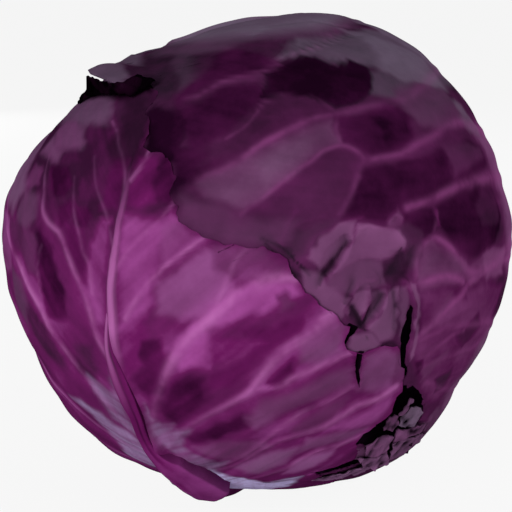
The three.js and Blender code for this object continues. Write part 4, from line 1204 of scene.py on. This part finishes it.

# ---- Loose scraps ------------------------------------------------------------------------
# Dried shreds of the right leaf: flakes in the hollow at the lower right, the crumpled pile
# and lip below it, and black slabs under the tongue, which are painted shadow filling the
# hollow there. Corners are (longitude, latitude, height over the head); each scrap has its
# tone, bloom, dryness and painted shade.
SCRAP_DEPTH = 0.6
SCRAP_CREASE = 1.2
SCRAP_FOLDS = 130
SCRAP_BACK_SHADE = 0.8
SCRAP_TOOTH = 0.9
SCRAP_JITTER = 0.15
SCRAPS = [
    (0.6, 0.9, 0.1, 0, [(38.2, -24.2, -0.8), (41, -25, -0.8), (43.2, -26.8, -0.4), (43.2, -29, -0.4),
        (42.3, -31, 0), (39.6, -30.8, -0.2), (36.6, -29.2, -0.8), (36.8, -26.4, -1)]),
    (0.55, 0.4, 0.1, 0, [(35.9, -20.9, -0.8), (37.4, -21.6, -0.8), (37.3, -24.1, -0.8), (36.2, -26.2, -1),
        (35.1, -26, -1), (35.8, -23.5, -0.8)]),
    (0.42, 0.2, 0.25, 0, [(32.4, -25.6, -1), (35, -26, -1), (36.4, -28.9, -0.8), (35.2, -30.6, -0.6),
        (32.4, -29.8, -1)]),
    (0.4, 0.2, 0.3, 0, [(36, -29.9, 0.2), (39.6, -30.6, 0.6), (42.4, -30.6, 0.8), (45, -30.6, 0.8),
        (50.5, -32.4, 0.2), (50, -34.4, 0.6), (46, -33.5, 1), (41.6, -33, 1), (39, -33.6, 1),
        (36.8, -33.8, 0.6)]),
    (0.55, 0.4, 0.3, 0, [(36.8, -34.2, 1), (41, -33.5, 1.2), (46, -34, 1.4), (50, -35.4, 0.8),
        (50.5, -38.6, 1), (49, -41, 1.2), (46, -41.5, 1.6), (40, -40.6, 1.2)]),
    (0.55, 0.3, 0.2, 0, [(28, -33, 0.2), (30, -31.4, 0.2), (33, -30.4, 0.4), (35.4, -31.4, 0.6),
        (35.6, -34, 0.8), (36.6, -37, 1.2), (33.5, -37.8, 0.8), (30, -37.2, 0.6)]),
    (0.75, 0.45, 0.3, 0, [(27.6, -37.4, 0.6), (34, -38.2, 1.2), (36.8, -37.2, 1.2), (40, -40.6, 1.4),
        (42, -43, 1.4), (37, -43, 1.6), (32, -41.6, 1.4)]),
    (0.85, 0.6, 0.3, 0, [(18, -47.4, 0), (23, -45.4, 0.6), (28, -43, 0.8), (32.6, -41.8, 0.8),
        (38, -43.2, 0.6), (36.4, -45.6, 0.2), (35.4, -48.6, 0), (30, -47.6, 0), (26, -49, -0.2),
        (20, -51, -0.4)]),
    # The last four are black slabs, not shreds: painted shadow in the hollow under the tongue.
    (0.05, 0, 0, 0.85, [(-59, 44.9, 1), (-62.1, 43.5, 0.8), (-64.4, 41, 0.6), (-68, 42.4, 1.2),
        (-66.9, 44.3, 1.6)]),
    (0.05, 0, 0, 0.9, [(-53.9, 44.9, 8), (-51.1, 43.3, 6), (-57, 42.4, 3), (-53.4, 43.8, 1.8),
        (-46.4, 44, 1.8), (-42.4, 44.6, 5.2), (-48.6, 44.8, 7)]),
    (0.05, 0, 0, 0.9, [(-46.6, 44, 1.8), (-40.5, 44.4, 1.8), (-38.3, 44.1, 1), (-36, 45.6, 1.5),
        (-39.2, 45.4, 4.6), (-42.6, 44.6, 5.4)]),
    (0.05, 0, 0, 0.9, [(-38.5, 44.1, 1), (-36, 45.4, 1.5), (-33.5, 46.8, 2), (-31.2, 47.9, 3),
        (-36.8, 48, 5), (-39.4, 45.4, 4.6)]),
]


def add_scrap(bm, seed, tone, bloom, dry, shade, corners):
    """A thin slab with straight corners, little teeth between them and a cut-up face."""
    draw = np.random.default_rng(seed)
    corners = np.array(corners, float)
    outline = []
    for start, end in zip(corners, np.roll(corners, -1, axis=0)):
        count = max(1, round(np.hypot(*(end - start)[:2]) / SCRAP_TOOTH))
        for step in range(count):
            outline.append(start + (end - start) * step / count
                           + draw.normal(0, SCRAP_JITTER, 3) * (step > 0))
    outline = np.array(outline)
    directions = toward(outline[:, :2])
    radius = head_radius(directions) + outline[:, 2]
    rings = []
    # The back face is darker still: painted shade on the undersides.
    for reach, dark in ((radius, shade), (radius - SCRAP_DEPTH, max(shade, SCRAP_BACK_SHADE))):
        rings.append([bm.verts.new(place * MM) for place in places_at(directions, reach)])
        for corner in rings[-1]:
            corner[tones] = (0, tone, bloom, 0)
            corner[dryness_and_shade] = (dry, dark, 0, 0)
    top, bottom = rings
    faces = [bm.faces.new(top), bm.faces.new(bottom[::-1])]
    for k in range(len(top)):
        bm.faces.new((top[k - 1], top[k], bottom[k], bottom[k - 1]))
    cut = bmesh.ops.triangulate(bm, faces=faces)["faces"]
    edges = list({edge for face in cut for edge in face.edges})
    bmesh.ops.subdivide_edges(bm, edges=edges, cuts=3, use_grid_fill=True)


bm = bmesh.new()
for name in ("tones", "dryness_and_shade"):
    bm.verts.layers.float_color.new(name)
tones, dryness_and_shade = (bm.verts.layers.float_color[name] for name in ("tones", "dryness_and_shade"))
for seed, scrap in enumerate(SCRAPS, 100):
    add_scrap(bm, seed, *scrap)
for corner in bm.verts:
    outward = (corner.co - HEAD_CENTRE).normalized()
    fold = abs(noise.noise(corner.co * SCRAP_FOLDS))
    fold += 0.5 * noise.noise(corner.co * 3 * SCRAP_FOLDS)
    corner.co += outward * SCRAP_CREASE * fold * MM
    # Raised folds are painted lighter and low ones darker: painted light and shade on the creases.
    corner[tones][1] += 0.7 * (fold - 0.2)
    corner[dryness_and_shade][1] += max(0, 0.16 - fold) * 3
bmesh.ops.triangulate(bm, faces=bm.faces[:])
bmesh.ops.recalc_face_normals(bm, faces=bm.faces[:])
scrap_mesh = finish_mesh(bm, "loose_scraps")
scrap_mesh.materials.append(right_skin)
loose_scraps = add_object("loose_scraps", scrap_mesh)
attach(loose_scraps, "root")

# ---- Back leaf ---------------------------------------------------------------------------
# The third wrapper leaf closes the head at the back, with both its sides tucked under.
BACK_SPINE = [
    (-124, -75), (-125, -55), (-126, -35), (-127, -15), (-128, 5), (-129, 22), (-131, 38), (-133, 52),
    (-136, 64), (-140, 74), (-150, 82),
]
BACK_LEFT = [
    (-166, -75), (170, -55), (160, -30), (158, -8), (159, 12), (161, 30), (164, 45), (167, 58), (172, 68),
    (180, 77), (-170, 84),
]
BACK_RIGHT = [
    (-85, -75), (-74, -50), (-70, -25), (-69, -5), (-68, 12), (-65, 25), (-60, 36), (-58, 43), (-66, 54),
    (-74, 68), (-105, 77),
]
back = Leaf(BACK_SPINE, BACK_LEFT, BACK_RIGHT)

HOLLOW_DEPTH = 5
HOLLOWS = (
    (-48, 49, 12, 4, 1), (31, -6, 3, 11, 1), (35, -26, 10, 12, 1.2), (24, -42, 11, 5, 1.2),
    (18.5, -6, 3.5, 9, 1), (-66, 45, 6, 2.5, 1),
)


def plain_shape(directions, edge):
    return 0.4 * ripple(directions, 8, 35) - HOLLOW_DEPTH * patches(directions, HOLLOWS), 0


def plain_paint(directions, glow):
    latitude = degrees_of(directions)[1]
    crown = smooth_step(35, 60, latitude)
    tone = 0.3 - 0.15 * crown + 0.3 * glow + 0.3 * blotches(directions, -128, 0.5, 48)
    bloom = (0.25 + 0.6 * crown) * (1 - 0.5 * glow)
    pale = 0.9 * smooth_step(-38, -60, latitude)
    shade = 1.2 * patches(directions, HOLLOWS)
    return tone, bloom, pale, 0 * tone, shade


BACK_MIDRIB = (
    BACK_SPINE, (5.5, 5, 3.6, 2.6, 2, 1.5, 1), (2, 4, 3, 2.2, 1.6, 1, 0.5),
    (0.1, 0.4, 0.7, 0.7, 0.5, 0.3),
)
back_lines = (Lines().trace([BACK_MIDRIB]), ribs_by_rule(back, 3), Lines())
back_leaf = build_leaf(
    "back_leaf", back, [front, right], back_lines, (52, 52, 3), plain_shape
)
paint_leaf(back_leaf, back_lines, 0.75, plain_paint)
back_leaf.data.materials.append(leaf_skin(
    "back_leaf_skin",
    deep=(0.022, 0.002, 0.018, 1), mid=(0.085, 0.01, 0.07, 1), bright=(0.22, 0.042, 0.2, 1),
    vein=(0.34, 0.08, 0.3, 1), bloom=(0.13, 0.08, 0.14, 1), pale=(0.33, 0.24, 0.5, 1),
))
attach(back_leaf, "root")
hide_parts("leaf_back")

# ---- Under leaves ------------------------------------------------------------------------
# Two leaves below the wrappers. Only the tears and the ring round the stalk let them show.
LOW_LATITUDES = (-75, -60, -45, -30, -16, -3, 10, 21, 30, 38, 45)
LOW_HALF_SPANS = (38, 62, 68, 68, 66, 62, 56, 48, 38, 24, 10)
LOW_MARGIN_RISE = (0, 4, 9, 14, 18, 20, 19, 18, 17, 15, 11)

# Their skin is far darker than the wrappers': painted shade, so that what shows through the tears reads
# as deep shadow.
shaded_under_skin = leaf_skin(
    "shaded_under_leaf_skin",
    deep=(0.008, 0.001, 0.007, 1), mid=(0.03, 0.004, 0.026, 1), bright=(0.08, 0.016, 0.072, 1),
    vein=(0.1, 0.025, 0.09, 1), bloom=(0.04, 0.02, 0.045, 1), pale=(0.3, 0.2, 0.4, 1),
)


def low_leaf(longitude):
    def edge(side):
        return [
            (longitude + side * span, latitude + rise)
            for span, latitude, rise in zip(LOW_HALF_SPANS, LOW_LATITUDES, LOW_MARGIN_RISE)
        ]

    return Leaf([(longitude, latitude) for latitude in LOW_LATITUDES], edge(-1), edge(1))


under = []
for name, node, longitude, seed in (
    ("under_leaf_front", "leaf_under_front", 22, 11),
    ("under_leaf_back", "leaf_under_back", 165, 12),
):
    leaf = low_leaf(longitude)
    midrib = (leaf.spine, (4.5, 3, 2, 1), (1.5, 2, 1.2, 0.5), (0.3, 0.4, 0.3))
    lines = (Lines().trace([midrib]), ribs_by_rule(leaf, seed, 7), Lines())
    above = [front, right, back, *under]
    piece = build_leaf(name, leaf, above, lines, (48, 48, 1), plain_shape)
    paint_leaf(piece, lines, 0.6, plain_paint)
    piece.data.materials.append(shaded_under_skin)
    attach(piece, "root")
    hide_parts(node)
    under.append(leaf)

# ---- Inner head --------------------------------------------------------------------------
# The tight inner leaves, closed on each other. Their folded edges wind round as low steps,
# and the core of the stalk goes up into a pit in the underside.
FOLDS = 5
FOLD_RISE = 1.2
FOLD_SLANT = 1.6
PIT_ANGLE = math.radians(13)
PIT_STATIONS = (0, 0.5, 1)
PIT_RADII = (0, 8.9, 16.8)
PIT_HEIGHTS = (46.7, 46.7, 12)
INNER_TONE = 0.4

bm = bmesh.new()
bmesh.ops.create_icosphere(bm, subdivisions=6, radius=1)
for face in bm.faces:
    face.smooth = True
inner_mesh = finish_mesh(bm, "inner_leaves")
directions = unit(read_places(inner_mesh))
pressed = sum(leaf.cover(directions)[1] for leaf in (front, right, back, *under))
longitude, latitude = degrees_of(directions)
turn = longitude * FOLDS / 360 + latitude / 90 * FOLD_SLANT
fold = FOLD_RISE * (turn - np.floor(turn)) * smooth_step(-75, -60, latitude)
hollow = patches(directions, HOLLOWS)
radius = head_radius(directions) - pressed * (BLADE + LEAF_GAP) - fold - HOLLOW_DEPTH * hollow
from_foot = np.arccos(np.clip(-directions[:, 2], -1, 1)) / PIT_ANGLE
pit_radius, pit_height = (
    np.interp(from_foot, PIT_STATIONS, values) for values in (PIT_RADII, PIT_HEIGHTS)
)
level = unit(directions[:, :2] + 1e-12)
pit = np.column_stack([level * pit_radius[:, None], pit_height])
write_places(inner_mesh, np.where((from_foot < 1)[:, None], pit, places_at(directions, radius)))
# The inner leaves take the same darkened skin, with painted shadow in the hollows under the tears.
write_skin(inner_mesh, np.full(len(directions), INNER_TONE), shade=1.2 * hollow)
inner_mesh.materials.append(shaded_under_skin)
inner_leaves = add_object("inner_leaves", inner_mesh)
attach(inner_leaves, "root")
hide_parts("inner_head")

# ---- Stalk -------------------------------------------------------------------------------
# The thick stalk, cut flat under the head. Inside a purple-green rind it is pale and fibrous,
# and its core narrows upwards into the inner head.
STALK_RADIUS = 0.016
STALK_PROFILE = [
    (0, 0), (14.6, 0), (15.6, 0.35), (16, 1.2), (15.9, 4), (15.5, 8), (12.5, 24), (8, 43), (5, 46),
    (0, 46),
]

bm = bmesh.new()
outline = [bm.verts.new((radius * MM, 0, height * MM)) for radius, height in STALK_PROFILE]
for first, second in zip(outline, outline[1:]):
    bm.edges.new((first, second))
bmesh.ops.spin(
    bm, geom=bm.verts[:] + bm.edges[:], cent=(0, 0, 0), axis=(0, 0, 1),
    angle=math.tau, steps=64, use_merge=True,
)
bmesh.ops.remove_doubles(bm, verts=bm.verts[:], dist=1e-5)
bmesh.ops.recalc_face_normals(bm, faces=bm.faces[:])
stalk_mesh = finish_mesh(bm, "stalk")
stalk = add_object("stalk", stalk_mesh)
stalk_material, tree, shader = new_material("cut_stalk")
place = add_node(tree, "ShaderNodeTexCoord").outputs["Object"]
flat = add_node(tree, "ShaderNodeVectorMath", {0: place, 1: (1, 1, 0)}, operation="MULTIPLY")
reach = add_node(tree, "ShaderNodeVectorMath", {0: flat.outputs[0]}, operation="LENGTH")
fibre = add_node(tree, "ShaderNodeTexNoise", {"Vector": place, "Scale": 900, "Detail": 4})
ramp = add_node(tree, "ShaderNodeValToRGB", {0: scaled(tree, reach.outputs["Value"], 0, STALK_RADIUS)})
ramp.color_ramp.elements[0].color = (0.72, 0.66, 0.5, 1)
ramp.color_ramp.elements[1].color = (0.2, 0.07, 0.16, 1)
for position, colour in ((0.62, (0.7, 0.63, 0.48, 1)), (0.72, (0.5, 0.45, 0.3, 1)),
                         (0.8, (0.68, 0.6, 0.5, 1)), (0.93, (0.55, 0.42, 0.45, 1))):
    ramp.color_ramp.elements.new(position).color = colour
colour = mix_colours(tree, scaled(tree, fibre.outputs["Fac"], 0.35, 0.75, 0, 0.4),
                     ramp.outputs["Color"], (0.35, 0.25, 0.16, 1))
tree.links.new(colour, shader.inputs["Base Color"])
shader.inputs["Roughness"].default_value = 0.75
bump = add_node(tree, "ShaderNodeBump", {
    "Height": fibre.outputs["Fac"], "Strength": 0.4, "Distance": 0.0006,
})
tree.links.new(bump.outputs[0], shader.inputs["Normal"])
stalk_mesh.materials.append(stalk_material)
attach(stalk, "root")
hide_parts("stem")
